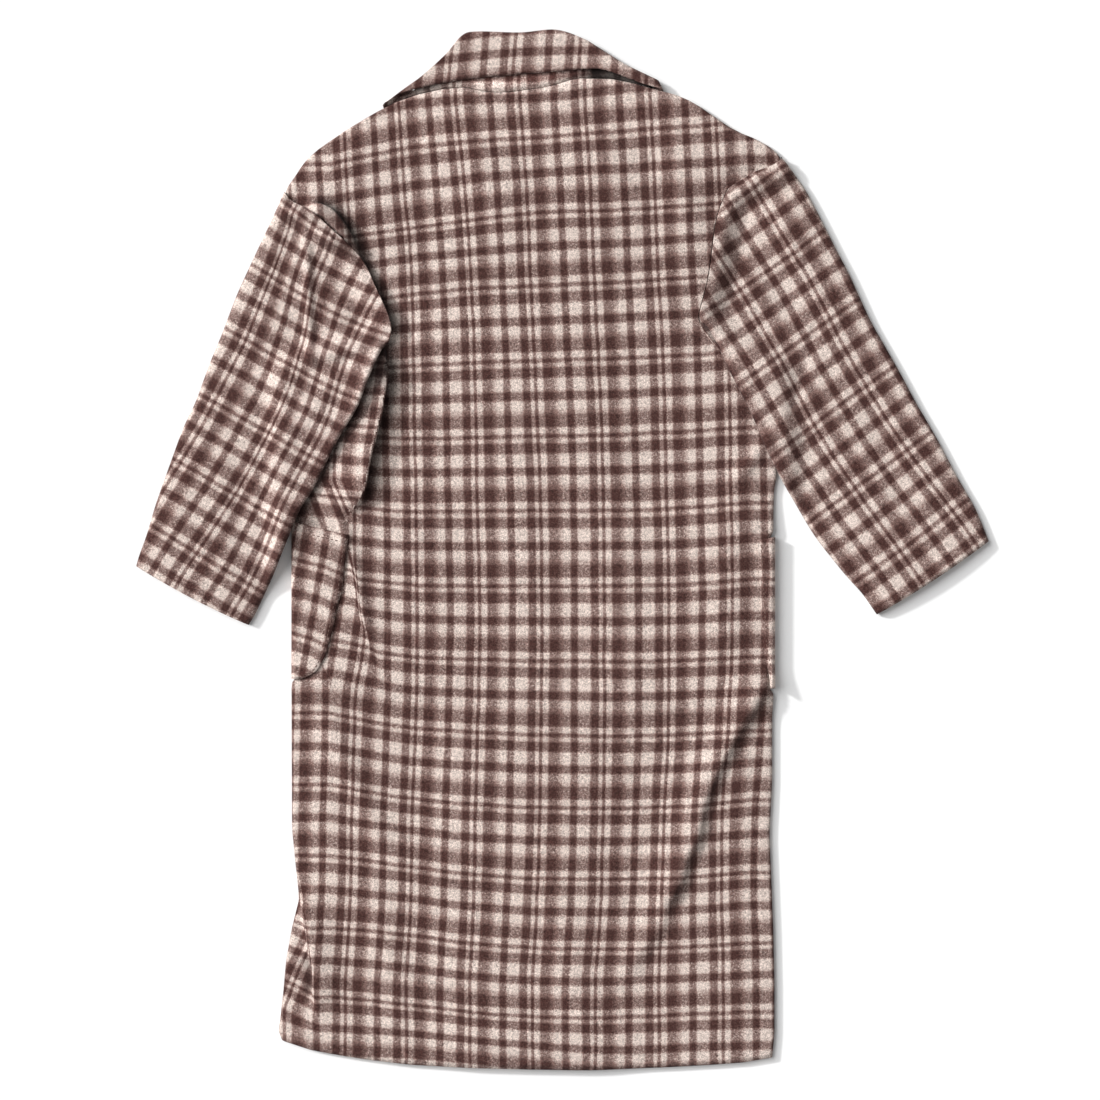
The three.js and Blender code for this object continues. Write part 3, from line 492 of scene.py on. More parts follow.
def beside(path, x, y):
    """Distance along a path, distance to its left (-) or right (+), its length and way there."""
    near = np.full(np.shape(x), np.inf)
    run, across = np.zeros(np.shape(x)), np.zeros(np.shape(x))
    way_x, way_y = np.zeros(np.shape(x)), np.zeros(np.shape(x))
    start, last = 0.0, len(path) - 2
    for i, ((ax, ay), (bx, by)) in enumerate(zip(path, path[1:])):
        length = math.hypot(bx - ax, by - ay)
        dx, dy = (bx - ax) / length, (by - ay) / length
        t = (x - ax) * dx + (y - ay) * dy
        t = np.maximum(t, 0) if i else t
        t = np.minimum(t, length) if i < last else t
        off_x, off_y = x - ax - dx * t, y - ay - dy * t
        gap = np.hypot(off_x, off_y)
        closer = gap < near
        near = np.where(closer, gap, near)
        run = np.where(closer, start + t, run)
        across = np.where(closer, np.copysign(gap, off_y * dx - off_x * dy), across)
        way_x, way_y = np.where(closer, dx, way_x), np.where(closer, dy, way_y)
        start += length
    return run, across, start, (way_x, way_y)


class Form:
    """Sizes of the laid coat in millimetres and the heights its layers lie at."""

    def __init__(self, sizes):
        self.cloth = sizes.cloth / MM
        self.seam = sizes.seam / MM
        self.rest = sizes.rest / MM
        self.air = sizes.air / MM
        self.radius = sizes.fold_radius / MM
        self.curl = sizes.side_curl / MM
        self.puff = sizes.puff / MM
        self.collar_top = sizes.collar_top / MM
        self.sleeve_air = sizes.sleeve_air / MM
        self.centre = sizes.centre / MM
        self.lap_half = sizes.lap / MM / 2
        self.spread = sizes.spread
        self.layer = self.cloth + self.seam
        self.left = Curve(LEFT_EDGE, sizes.rounding / MM)
        self.right = Curve(RIGHT_EDGE, sizes.rounding / MM)
        self.hem = Curve(HEM, sizes.rounding / MM)
        self.neck = Curve(NECK, sizes.rounding / MM)

    def front_edge(self, side, y):
        edge, marks = (self.left, LEFT_MARKS) if side < 0 else (self.right, RIGHT_MARKS)
        low, high = marks["underarm"], marks["shoulder"]
        line = lerp(edge(low), edge(high), (y - low) / (high - low))
        return np.where((y > low) & (y < high), line, edge(y))

    def lift(self, x, y, spread=1):
        """Height from what lies below the fronts; spread widens its slopes outwards."""
        most = 0
        for part in LIFTS:
            low, high = part["low"], part["high"]
            ramp_x, ramp_y = part["ramp_x"] * spread, part["ramp_y"] * spread
            across = 1 - smooth(part["half"], part["half"] + ramp_x, abs(x - part["x"]))
            up = smooth(low - ramp_y, low, y) * (1 - smooth(high, high + ramp_y, y))
            most = np.maximum(most, self.layer * across * up)
        return most

    def lap_lift(self, x, y, spread=1):
        across = abs(x - self.centre) - self.lap_half
        start, end = LAP_OUT
        return self.layer * (1 - smooth(start, end * spread, across)) * (1 - smooth(*LAP_TOP, y))

    def inside(self, x, y):
        sides = np.minimum(x - self.left(y), self.right(y) - x)
        return np.minimum(sides, y - self.hem(x) + HEM_ROOM)

    def folds(self, x, y):
        """Height of the folds, lean of their crests in x and y, and the light left by painted shade
        at their feet.
        """
        total, lean_x, lean_y, light = 0, 0, 0, 1
        for path, left, right, height, fade, lean, shade_depth in FOLDS:
            run, foot, length, way = beside(path, x, y)
            across = foot + lean
            ends = smooth(-fade, fade * FADE_IN, run)
            ends = ends * (1 - smooth(length - fade * FADE_IN, length + fade, run))
            # Painted shade: the colour is darkened beside each fold's foot, standing in for the
            # shadow there
            tone = shade_depth * ends * smooth(FOLD_FOOT_SHADE["start"], FOLD_FOOT_SHADE["full"], foot)
            light = light * (1 - tone * fading(foot, FOLD_FOOT_SHADE["reach"]))
            share = np.exp(-((across / np.where(across > 0, right, left)) ** 2)) * ends
            total = total + height * share
            lean_x = lean_x - lean * share * way[1]
            lean_y = lean_y + lean * share * way[0]
        hold = smooth(*LEAN_IN, self.inside(x, y))
        return total, lean_x * hold, lean_y * hold, light

    def back_top(self, x, y):
        under = self.lift(x, y, self.spread) + self.lap_lift(x, y, self.spread)
        stack = under + 2 * self.cloth + self.seam + self.air
        room = smooth(*PUFF_IN, self.inside(x, y)) * (1 - smooth(*PUFF_TOP, y))
        return np.maximum(stack, stack + self.puff * room + self.folds(x, y)[0])

    def fold_out(self, angle):
        return self.radius * (1 - np.cos(angle))

    def fold_in(self, angle):
        return self.cloth + (self.radius - self.cloth) * (1 - np.cos(angle))

    def stations(self, width, steps, start, end):
        """Distances across a strip on both faces and the share of height, a row per width."""
        width, start, end = (np.asarray(v, float).reshape(-1, 1) for v in (width, start, end))
        angles = QUARTER[None]
        out, inn = self.fold_out(angles), self.fold_in(angles)
        flat = lerp(self.radius, width - self.radius, np.asarray(steps, float)[None])
        ones = np.ones_like(width)
        outer = np.hstack([out * ones, flat, (width - out)[:, ::-1]])
        inner = np.hstack([lerp(out, inn, start), flat, (width - lerp(out, inn, end))[:, ::-1]])
        rise = np.hstack([
            lerp(1, np.sin(angles), start), flat * 0 + 1, lerp(1, np.sin(angles), end)[:, ::-1],
        ])
        return outer, inner, rise


def folded(y, marks):
    """How much the edge is a folded side or shoulder, not the armhole."""
    low, high = (marks["underarm"] + blend for blend in UNDERARM_BLEND)
    shoulder = marks["shoulder"]
    return 1 - smooth(low, high, y) * (1 - smooth(shoulder + SHOULDER_BLEND, shoulder, y))


def finer(rows, step):
    """Rows with even ones put between them, none further apart than step(y) in two columns."""
    out = [np.array(rows[0], float)]
    for row in rows[1:]:
        last, row = out[-1], np.array(row, float)
        count = max(1, math.ceil(abs(row - last)[:2].max() / step((row[0] + last[0]) / 2)))
        out += [lerp(last, row, i / count) for i in range(1, count + 1)]
    return np.array(out)


def rounded(rows, at):
    """A row at a fractional number, on a rounded line through the rows."""
    rows = np.asarray(rows, float)
    i = min(int(at), len(rows) - 2)
    t = at - i
    b, c = rows[i], rows[i + 1]
    a = rows[i - 1] if i > 0 else 2 * b - c
    d = rows[i + 2] if i + 2 < len(rows) else 2 * c - b
    return b + 0.5 * t * (c - a + t * (2 * a - 5 * b + 4 * c - d + t * (3 * (b - c) + d - a)))


def lengths(path):
    """Distance along a path at each of its points."""
    return np.concatenate([[0], np.cumsum(np.linalg.norm(np.diff(path, axis=0), axis=1))])


def along(path, distance):
    """Points at distances along a path."""
    run = lengths(path)
    return np.stack([np.interp(distance, run, values) for values in path.T], -1)


def link(name, mesh):
    mesh.shade_smooth()
    piece = bpy.data.objects.new(name, mesh)
    bpy.context.scene.collection.objects.link(piece)
    return piece


def shell(name, outer, inner, cloth_outer, cloth_inner, loop=False, painted_shade=0.0):
    """A closed thin wall between two grids of points, its place on the flat cloth and painted
    shade.
    """
    rows, cols = outer.shape[:2]
    points = np.concatenate([outer.reshape(-1, 3), inner.reshape(-1, 3)]) * MM
    cloth = np.concatenate([cloth_outer.reshape(-1, 2), cloth_inner.reshape(-1, 2)])
    near = np.arange(rows * cols).reshape(rows, cols)
    if loop:
        near = np.hstack([near, near[:, :1]])
    far = near + rows * cols
    quad = lambda a, b, c, d: np.stack([a, b, c, d], -1).reshape(-1, 4)
    faces = [
        quad(near[:-1, :-1], near[1:, :-1], near[1:, 1:], near[:-1, 1:]),
        quad(far[:-1, :-1], far[:-1, 1:], far[1:, 1:], far[1:, :-1]),
        quad(near[0, :-1], near[0, 1:], far[0, 1:], far[0, :-1]),
        quad(near[-1, 1:], near[-1, :-1], far[-1, :-1], far[-1, 1:]),
    ]
    if not loop:
        faces.append(quad(near[1:, 0], near[:-1, 0], far[:-1, 0], far[1:, 0]))
        faces.append(quad(near[:-1, -1], near[1:, -1], far[1:, -1], far[:-1, -1]))
    faces = np.concatenate(faces)
    a, b, c, d = (points[faces[:, i]] for i in range(4))
    volume = (a * (np.cross(b, c) + np.cross(c, d))).sum()
    if volume < 0:
        faces = faces[:, ::-1]
    mesh = bpy.data.meshes.new(name)
    mesh.from_pydata(points.tolist(), [], faces.tolist())
    index = np.empty(len(mesh.loops), np.int32)
    mesh.loops.foreach_get("vertex_index", index)
    # This layer holds how far the colour is darkened as painted shade
    shade_depth = np.tile((np.zeros((rows, cols)) + painted_shade).ravel(), 2)
    shade_depth = np.stack([shade_depth, shade_depth], -1)
    for key, values in (("Cloth", cloth), ("PaintedShade", shade_depth)):
        layer = mesh.uv_layers.new(name=key)
        layer.data.foreach_set("uv", values[index].astype(np.float32).ravel())
    return link(name, mesh)


BACK_CHARTS = Chart(BACK_WARP, -5), Chart(BACK_WEFT, 0)


def back_cloth(x, y):
    warp, weft = BACK_CHARTS
    return np.stack([warp(y, x), weft(x, y)], -1)


def dragged_cloth(x, y, lean_x, lean_y):
    """The same, with the cloth left of some folds out of line."""
    aside, up = lean_x, -lean_y
    for drag in DRAGS:
        keys, drag_aside, drag_up = np.array(drag["rows"], float).T
        fold = FOLDS[drag["fold"]]
        across = beside(fold[0], x, y)[1] + fold[5]
        within = (y > keys[0]) & (y < keys[-1]) & (across > -drag["width"])
        share = smooth(0, drag["ramp"], -across) * within
        tilt = drag["tilt"] * smooth(keys[0], keys[0] + 70, y)
        aside = aside + np.interp(y, keys, drag_aside) * share
        up = up + (np.interp(y, keys, drag_up) - tilt * across) * share
    return back_cloth(x + aside, y - up)


def sleeve_cloth(side, x, y):
    check = SLEEVE_CHECKS[side]
    turn = math.radians(check["turn"])
    dx, dy = x - check["origin"][0], check["origin"][1] - y
    across = dx * math.cos(turn) + dy * math.sin(turn)
    down = dy * math.cos(turn) - dx * math.sin(turn)
    warp, weft = SLEEVE_CHARTS[side]
    return np.stack([warp(down, across), weft(across, down)], -1)


SLEEVE_CHARTS = {
    side: (Chart(check["warp"], 0), Chart(check["weft"], 0))
    for side, check in SLEEVE_CHECKS.items()
}
LEAF_CHARTS = Chart(LEAF_WARP, 0), Chart(LEAF_WEFT, 0)


def leaf_cloth(x, y):
    warp, weft = LEAF_CHARTS
    return np.stack([warp(y, x), weft(x, y)], -1)


def body_points(form, rows, xl, xr, d):
    """x and y of body sections at distances from their left ends."""
    x, share = xl + d, d / (xr - xl)
    y = lerp(rows[:, :1], rows[:, 1:2], share)
    y = y + rows[:, 2:3] * (form.hem(x) - lerp(*HEM_ENDS, share))
    y = y + rows[:, 3:4] * (form.neck(x) - lerp(*NECK_ENDS, share))
    return x, y


def back_panel(form, step):
    grid = BACK_GRID
    fine = lambda y: grid["low"] < y < grid["high"]
    rows = finer(BODY_ROWS, lambda y: step * grid["fine_row" if fine(y) else "row"])
    xl, xr = form.left(rows[:, :1]), form.right(rows[:, 1:2])
    width = (xr - xl).max()
    dense = grid["strip"] / width
    steps = np.concatenate([
        np.arange(0, dense, step * grid["fine_column"] / width),
        np.linspace(dense, 1, round((1 - dense) * width / step / grid["column"])),
    ])[1:-1]
    start, end = folded(rows[:, 0], LEFT_MARKS), folded(rows[:, 1], RIGHT_MARKS)
    outer, inner, rise = form.stations(xr - xl, steps, start, end)
    shoulder = LEFT_MARKS["shoulder"]
    sleeve_edge = [row[2:] for row in LEFT_SLEEVE[1:]]

    def face(d, drop):
        x, y = body_points(form, rows, xl, xr, d)
        low = form.lift(x, y) + form.cloth + form.seam + form.curl
        up = smooth(shoulder, shoulder + SHOULDER_RISE["reach"], y)
        low = low + SHOULDER_RISE["height"] * up
        z = low + (form.back_top(x, y) - drop - low) * rise
        # Painted shade in the colour: at fold feet, beside the left sleeve, along the listed paths
        # and round folded edges
        _, lean_x, lean_y, light = form.folds(x, y)
        run, foot, *_ = beside(sleeve_edge, x, y)
        near = smooth(SLEEVE_PAINTED_SHADE["start"], SLEEVE_PAINTED_SHADE["full"], run)
        near = near * (foot > SLEEVE_PAINTED_SHADE["across"]) * fading(foot, SLEEVE_PAINTED_SHADE["reach"])
        light = light * (1 - SLEEVE_PAINTED_SHADE["shade_depth"] * near)
        for path, shade_depth, reach in PAINTED_SHADE_PATHS:
            run, away, length, _ = beside(path, x, y)
            ends = smooth(-reach, reach, run) * (1 - smooth(length - reach, length + reach, run))
            light = light * (1 - shade_depth * ends * fading(abs(away), reach))
        light = light * (1 - EDGE_PAINTED_SHADE * (1 - rise))
        lean_x, lean_y = lean_x * rise, lean_y * rise
        cloth = dragged_cloth(x, y, lean_x, lean_y)
        return np.stack([x + lean_x, y + lean_y, z], -1), cloth, 1 - light

    out, cloth, painted_shade = face(outer, 0)
    inn, cloth_in, _ = face(inner, form.cloth)
    return shell("wool_back_panel", out, inn, cloth, cloth_in, painted_shade=painted_shade)


def front_panel(form, side, step):
    sections = []
    for row in finer([row for row in BODY_ROWS if row[0] < 395], lambda y: step):
        xl, xr = form.front_edge(-1, row[0]), form.front_edge(1, row[1])
        at = lambda x, *of: body_points(form, *of, x[None] - of[1])[1][0]
        centre = form.centre - side * form.lap_half
        sections.append((xl if side < 0 else xr, centre, at, (row[None], xl, xr)))
    for out, y, edge_y in finer(NECKLINE[side], lambda y: step * FRONT["neck_step"]):
        edge, centre = form.front_edge(side, edge_y), form.centre + side * out
        at = lambda x, e, c, y, edge_y: lerp(y, edge_y, (x - c) / (e - c))
        sections.append((edge, centre, at, (edge, centre, y, edge_y)))
    first = FRONT_COLUMNS[side][0]
    full = form.centre - side * form.lap_half
    marks = np.array(FRONT_COLUMNS[side] + (full,), float)
    count = FRONT["between"]
    at_marks = np.arange(1, count * (len(marks) - 1) + 1) / count
    marks = np.interp(at_marks, np.arange(len(marks)), marks)
    out, inn = [], []
    for edge, centre, at, of in sections:
        start = edge - side * FRONT["start"]
        x = np.concatenate([
            edge - side * np.array(FRONT_EDGE_STEPS),
            lerp(start, centre, (marks - first) / (full - first)),
        ])
        y = at(x, *of)
        bend = 1 - np.minimum(1, abs(x - edge) / FRONT["curl"])
        z = form.lift(x, y) + form.curl * (1 - np.sqrt(1 - bend**2))
        z = z + (form.lap_lift(x, y) if side < 0 else 0)
        out.append(np.stack([x, y, z + form.cloth], -1))
        inn.append(np.stack([x, y, z], -1))
    out, inn = np.array(out), np.array(inn)
    name = "wool_front_left" if side < 0 else "wool_front_right"
    cloth = back_cloth(out[..., 0] + FRONT["shift"] * side, out[..., 1])
    return shell(name, out, inn, cloth, cloth)


def on_path(path, share):
    return along(path, np.clip(share, 0, 1) * lengths(path)[-1])


def outside(rows, side, high, x, y):
    """Distance outwards from the back's side outline, for the part of it below a height."""
    nearest = np.full(np.shape(x), np.inf)
    for (ay, ax), (by, bx) in zip(rows, rows[1:]):
        if ay >= high:
            continue
        dx, dy = bx - ax, by - ay
        t = np.clip(((x - ax) * dx + (y - ay) * dy) / (dx * dx + dy * dy), 0, 1)
        nearest = np.minimum(nearest, np.hypot(x - ax - dx * t, y - ay - dy * t))
    keys, values = np.array(rows, float).T
    return np.where(side * (x - np.interp(y, keys, values)) > 0, nearest, -nearest)


def sleeve(form, side, step):
    part = SLEEVES[side]
    table, marks, edge = np.array(part["table"], float), part["marks"], part["edge"]
    curve = form.left if side < 0 else form.right
    gap = side * SLEEVE["gap"]
    y = np.linspace(marks["shoulder"], marks["tip"], 60)
    upper = np.stack([curve(y) + gap, y], -1)
    y = np.linspace(marks["underarm"], marks["tip"], 20)
    under = np.stack([curve(y) + gap, y - 1], -1)
    y = np.linspace(marks["shoulder"], marks["underarm"], 20)
    lower = np.concatenate([np.stack([form.front_edge(side, y) + gap, y], -1), under])
    by_pocket = lambda y: side < 0 and y < OVER_POCKET["low"]
    rest_edge = [(y, min(x, OVER_POCKET["x"]) if by_pocket(y) else x) for y, x in edge]
    under_row = SLEEVE["under_row"]
    done_all = math.hypot(*(table[under_row] - table[0])[:2])

    def cover(x, y):
        less = smooth(marks["tip"], marks["tip"] + SLEEVE["tuck_reach"], y)
        tuck = SLEEVE["tuck"] - SLEEVE["less"] * less
        inside = np.maximum(x, curve(y) + tuck) if side < 0 else np.minimum(x, curve(y) - tuck)
        over = 1 - smooth(OVER_POCKET["low"], OVER_POCKET["high"], y) if side < 0 else 0
        return form.back_top(inside, y) + form.rest + OVER_POCKET["height"] * over

    def line(row, a):
        return np.stack([lerp(row[0], row[2], a), lerp(row[1], row[3], a)], -1)

    outer, inner, cloth_outer, cloth_inner, painted_shade = [], [], [], [], []
    last = len(table) - 1
    count = round(SLEEVE_WIDTH / step)
    steps = np.arange(1, count) / count
    length = math.hypot(*(table[-1, :2] - table[0, :2]))
    for k in np.linspace(0, last, round(length / step)):
        row, s = rounded(table, k), k / last
        width = math.hypot(row[2] - row[0], row[3] - row[1])
        list_out, list_in, rise = (v[0] for v in form.stations(width, steps, 1, 1))
        seam_share = 1 - smooth(0, SLEEVE["seam_end"], s)
        bow = lambda a: SLEEVE["bow"] * a * (1 - a) * smooth(SLEEVE["bow_start"], 1, s)

        def top_plan(a):
            p = line(row, a) + (on_path(upper, a) - line(table[0], a)) * seam_share
            p[..., 1] -= bow(a)
            return p[..., 0], p[..., 1]

        def bottom_plan(a):
            p = line(row, a)
            if k >= under_row:
                p[..., 1] -= bow(a)
            else:
                t = math.hypot(*(row - table[0])[:2]) / done_all
                even = line(lerp(table[0], table[under_row], t), a)
                p = lerp(on_path(lower, a), line(table[under_row], a), t) + p - even
            return p[..., 0], p[..., 1]

        def crease(a):
            total = 0
            for s0, a0, s1, a1, reach, height in part["creases"]:
                run = (s - s0) / (s1 - s0)
                middle = lerp(a0, a1, np.clip(run, 0, 1))
                ends = smooth(-0.3, 0.3, run) * (1 - smooth(0.7, 1.3, run))
                total = total + height * np.exp(-(((a - middle) / reach) ** 2)) * ends
            return total

        extra = SLEEVE["seam_rise"] * seam_share

        def low_at(x, y):
            out = outside(rest_edge, side, marks["tip"], x, y)
            return (cover(x, y) + extra) * (1 - smooth(*SLEEVE["low_ramp"], out))

        def high_at(x, y, a):
            body = np.sin(math.pi * np.clip(a, 0, 1)) ** 0.5
            room = 2 * form.cloth + SLEEVE["room"] + (form.sleeve_air + crease(a)) * body
            at_seam = seam_share * (1 - smooth(part["seam_flat"], SLEEVE["seam_round"], a))
            drape = 1 - smooth(*SLEEVE["high_ramp"], outside(rest_edge, side, math.inf, x, y))
            seam = form.cloth + SLEEVE["seam_top"] - extra
            return (cover(x, y) + extra) * drape + lerp(room, seam, at_seam)

        def ring(across, drop):
            a = across / width
            tx, ty = top_plan(a)
            bx, by = bottom_plan(a)
            high, low = high_at(tx, ty, a), low_at(bx, by)
            middle = (high + low) / 2
            top = np.stack([tx, ty, middle + (high - middle - drop) * rise], -1)
            bottom = np.stack([bx, by, middle - (middle - low - drop) * rise], -1)
            cloth_top = sleeve_cloth(side, tx, ty)
            cloth_bottom = sleeve_cloth(side, bx, by)
            cloth_bottom[:, 0] = 2 * cloth_top[0, 0] - cloth_bottom[:, 0]
            points = np.concatenate([top, bottom[1:-1][::-1]])
            # Painted shade round the sleeve's folded edges, darkening their lit rims
            shade_depth = EDGE_PAINTED_SHADE * (1 - np.concatenate([rise, rise[1:-1][::-1]]))
            return points, np.concatenate([cloth_top, cloth_bottom[1:-1][::-1]]), shade_depth

        for across, drop, points, cloth in (
            (list_out, 0, outer, cloth_outer), (list_in, form.cloth, inner, cloth_inner),
        ):
            p, c, shade_depth = ring(across, drop)
            points.append(p)
            cloth.append(c)
        painted_shade.append(shade_depth)
    grids = (np.array(v) for v in (outer, inner, cloth_outer, cloth_inner))
    return shell("wool_" + part["name"], *grids, loop=True, painted_shade=np.array(painted_shade))


def between(rows, count):
    """Rows with rounded ones put between neighbours on one side of a fold."""
    out = []
    for i, row in enumerate(rows):
        out.append(tuple(row))
        after = rows[i + 1] if i + 1 < len(rows) else None
        if after is None or row[4] != after[4]:
            continue
        same = [r for r in rows if r[4] == row[4]]
        start = same.index(row)
        out += [
            (*rounded([r[:4] for r in same], start + j / count), row[4]) for j in range(1, count)
        ]
    return out


def wrapped(form, name, rows, across, heights, cloth_at, roll, ruffle=0.0):
    """A band that wraps round two side folds: rows along it, steps across it."""
    outer, inner, cloth = [], [], []

    def place(row, step, shell_key):
        length = math.hypot(row[2] - row[0], row[3] - row[1])
        if "share" in step:
            d = lerp(min(form.radius, length * BAND["roll"]), length, step["share"])
        else:
            d = min(step[shell_key], length * BAND["edge"])
        return lerp(row[0], row[2], d / length), lerp(row[1], row[3], d / length)

    for step in across:
        points = {"outer": [], "inner": []}
        flat = []
        for k, row in enumerate(rows):
            if row[4] != 0:
                for key, drop in (("outer", 0), ("inner", form.cloth)):
                    x, y = place(row, step, key)
                    low, high = heights(x, y)
                    middle = (low + high) / 2
                    rise = step["rise"] if roll and row[4] > 0 else 1
                    if row[4] > 0:
                        z = middle + (high - drop - middle) * rise
                    else:
                        z = middle - (middle - low - drop) * rise
                    points[key].append((x, y, z))
                flat.append(cloth_at(points["outer"][-1][0], points["outer"][-1][1]))
                continue
            before, after = rows[k - 1], rows[k + 1]
            up = 1 if after[4] > 0 else -1
            turns = [(-up * a, before) for a in QUARTER[::-1]]
            turns += [(up * a, after) for a in QUARTER[1:]]
            for angle, near in turns:
                for key, drop in (("outer", 0), ("inner", form.cloth)):
                    p, q = place(row, step, key), place(near, step, key)
                    gap = math.dist(p, q)
                    bend = form.fold_out if key == "outer" else form.fold_in
                    d = min(bend(abs(angle)), gap * BAND["bend"])
                    x, y = lerp(p[0], q[0], d / gap), lerp(p[1], q[1], d / gap)
                    low, high = heights(x, y)
                    middle = (low + high) / 2
                    rise = step["rise"] if roll and angle > 0 else 1
                    z = middle + (high - middle - drop) * math.sin(angle) * rise
                    points[key].append((x, y, z))
                flat.append(cloth_at(points["outer"][-1][0], points["outer"][-1][1]))
        outer.append(points["outer"])
        inner.append(points["inner"])
        cloth.append(flat)
    outer, inner, cloth = (np.array(v, float) for v in (outer, inner, cloth))
    if ruffle:
        x = outer[-1, :, 0]
        wave = ruffle * sum(size * np.sin(x * rate + start) for size, rate, start in RUFFLE)
        outer[-1, :, 1] += wave
        inner[-1, :, 1] += wave
    return shell(name, outer, inner, cloth, cloth)


def collar_leaf(form):
    rows = between(LEAF_LEFT, 5) + between(LEAF_BACK, 7) + between(LEAF_RIGHT, 5)
    across = [
        {"outer": outer, "inner": form.cloth + inner, "rise": rise}
        for outer, inner, rise in LEAF_ROLL
    ] + [{"share": i / LEAF_STEPS, "rise": 1} for i in range(LEAF_STEPS + 1)]
    heights = lambda x, y: (0, form.collar_top)
    leaf = lambda x, y: leaf_cloth(np.array(x), np.array(y))
    return wrapped(form, "wool_collar_leaf", rows, across, heights, leaf, True, LEAF_RUFFLE)


def collar_stand(form):
    roll_y = Curve([row[:2] for row in LEAF_BACK])
    part = STAND

    def front(rows, side):
        neck = Curve([(out, y) for out, y, _ in NECKLINE[side]])
        low = lambda x: float(neck(abs(x - form.centre))) + form.seam + part["front_gap"]
        near = [row for row in between(rows, 5) if row[4] < 0]
        return [(x, y - part["inset"], x, low(x), -1) for x, y, *_ in near]

    back = []
    for x in np.linspace(part["left"], part["right"], part["points"]):
        low = float(form.neck(x)) + form.seam + part["back_gap"]
        away = abs(x - part["middle"])
        slant = part["slant"] * float(smooth(part["slant_from"], part["slant_to"], away))
        high = max(float(roll_y(x)) - part["inset"] - slant, low + part["least"])
        back.append((x, high, x, low, 1))
    rows = front(LEAF_LEFT, -1) + [STAND_FOLD[-1]] + back + [STAND_FOLD[1]] + front(LEAF_RIGHT, 1)
    across = [{"share": i / part["steps"], "rise": 1} for i in range(part["steps"] + 1)]
    heights = lambda x, y: (form.layer, form.collar_top - form.layer)
    body = lambda x, y: back_cloth(np.array(x), np.array(y)) + np.array(part["shift"])
    return wrapped(form, "wool_collar_stand", rows, across, heights, body, False)


def pocket(form, side):
    """The pocket and its stitches."""
    part, lie = POCKETS[side], POCKET
    fold, top, bottom = part["fold"], part["top"], part["bottom"]
    edge = Curve(part["edge"], lie["rounding"])
    outer, inner, cloth = [], [], []
    front_width = abs(part["inner"] - fold)
    keys, aside, up = np.array(part["drag"], float).T
    back_top = lambda x, y: float(form.back_top(x, y))
    for share in np.linspace(0, 1, lie["rows"]):
        y0 = lerp(bottom, top, share)
        back_x = float(edge(y0))
        reach = max(abs(back_x - fold), form.radius + lie["least"])
        out, inn, flat = [], [], []

        def add(d_out, d_in, z_out, z_in, dy, way):
            out.append((fold - side * d_out, y0 + dy, z_out))
            inn.append((fold - side * d_in, y0 + dy, z_in))
            place, y = fold - side * d_out * way, y0 + dy
            rise = np.interp(y, keys, up) + part["tilt"] * (part["pivot"] - place)
            place = place + np.interp(y, keys, aside)
            flat.append(back_cloth(np.array(place), np.array(y - rise)))

        for k in range(lie["front_steps"]):
            d = lerp(front_width, form.radius + lie["start"], k / lie["front_steps"])
            add(d, d, 0, form.cloth, 0, -1)
        fold_top = back_top(fold - side * lie["beside_fold"], y0) + form.layer + lie["gap"]
        middle = fold_top / 2
        for angle in [-a for a in QUARTER[::-1]] + list(QUARTER[1:]):
            flat_share = math.copysign(abs(math.sin(angle)) ** lie["fold_power"], angle)
            add(
                form.fold_out(angle), form.fold_in(angle), middle + middle * flat_share,
                middle + (middle - form.cloth) * flat_share, 0, -1 if angle < 0 else 1,
            )
        for k in range(1, lie["back_steps"] + 1):
            d = lerp(form.radius, reach, k / lie["back_steps"])
            dy = (part["top_in"] - top) * share * min(1, d / abs(back_x - fold))
            x, y = fold - side * d, y0 + dy
            under = max(back_top(x, y), back_top(x - side * lie["beside"], y))
            settled = float(smooth(form.radius, lie["settle"], d))
            z = lerp(fold_top - form.cloth, under + form.seam + lie["gap"], settled)
            pressed = lie["pressed"] * float(smooth(reach - lie["press_reach"], reach, d))
            add(d, d, z + form.cloth * (1 - pressed), z, dy, 1)
        outer.append(out)
        inner.append(inn)
        cloth.append(flat)
    outer, inner, cloth = (np.array(v, float) for v in (outer, inner, cloth))
    back = outer[:, 1 - lie["back_steps"]:]
    paths = [
        inset(back[2:-1], STITCH["from_edge"]),
        inset(back[:, :-2].transpose(1, 0, 2), STITCH["from_top"]),
    ]
    seam = stitches("stitches_" + part["name"], paths)
    return shell("wool_" + part["name"], outer, inner, cloth, cloth), seam


def inset(lines, distance):
    """The path that stays at a distance from the end of each line of points."""
    return np.array([along(line, distance) for line in lines[:, ::-1]])


def stitches(name, paths):
    """Short threads in rows along paths, joined in one mesh."""
    points, faces = [], []
    pitch, half = STITCH["pitch"], STITCH["length"] / 2
    sides, taper = STITCH["sides"], STITCH["taper"]
    turn = np.linspace(0, 2 * math.pi, sides, endpoint=False)[:, None]
    for path in paths:
        for start in np.arange(pitch / 2, lengths(path)[-1] - pitch / 2, pitch):
            a, b = along(path, start - half), along(path, start + half)
            way = (b - a) / np.linalg.norm(b - a)
            across = np.cross(way, (0, 0, 1))
            across = across / np.linalg.norm(across)
            ring = np.cos(turn) * across + np.sin(turn) * np.cross(across, way)
            ring = STITCH["radius"] * ring
            first = len(points)
            near, far, end = first + 1, first + 1 + sides, first + 1 + 2 * sides
            points += [a, *(lerp(a, b, taper) + ring), *(lerp(a, b, 1 - taper) + ring), b]
            for i in range(sides):
                j = (i + 1) % sides
                faces += [
                    (first, near + i, near + j), (near + i, far + i, far + j, near + j),
                    (far + i, end, far + j),
                ]
    mesh = bpy.data.meshes.new(name)
    mesh.from_pydata((np.array(points) * MM).tolist(), [], faces)
    return link(name, mesh)


def linear(*srgb):
    """Linear colour of an 8-bit one."""
    return tuple(
        v / 255 / 12.92 if v <= 10 else ((v / 255 + 0.055) / 1.055) ** 2.4 for v in srgb
    ) + (1,)


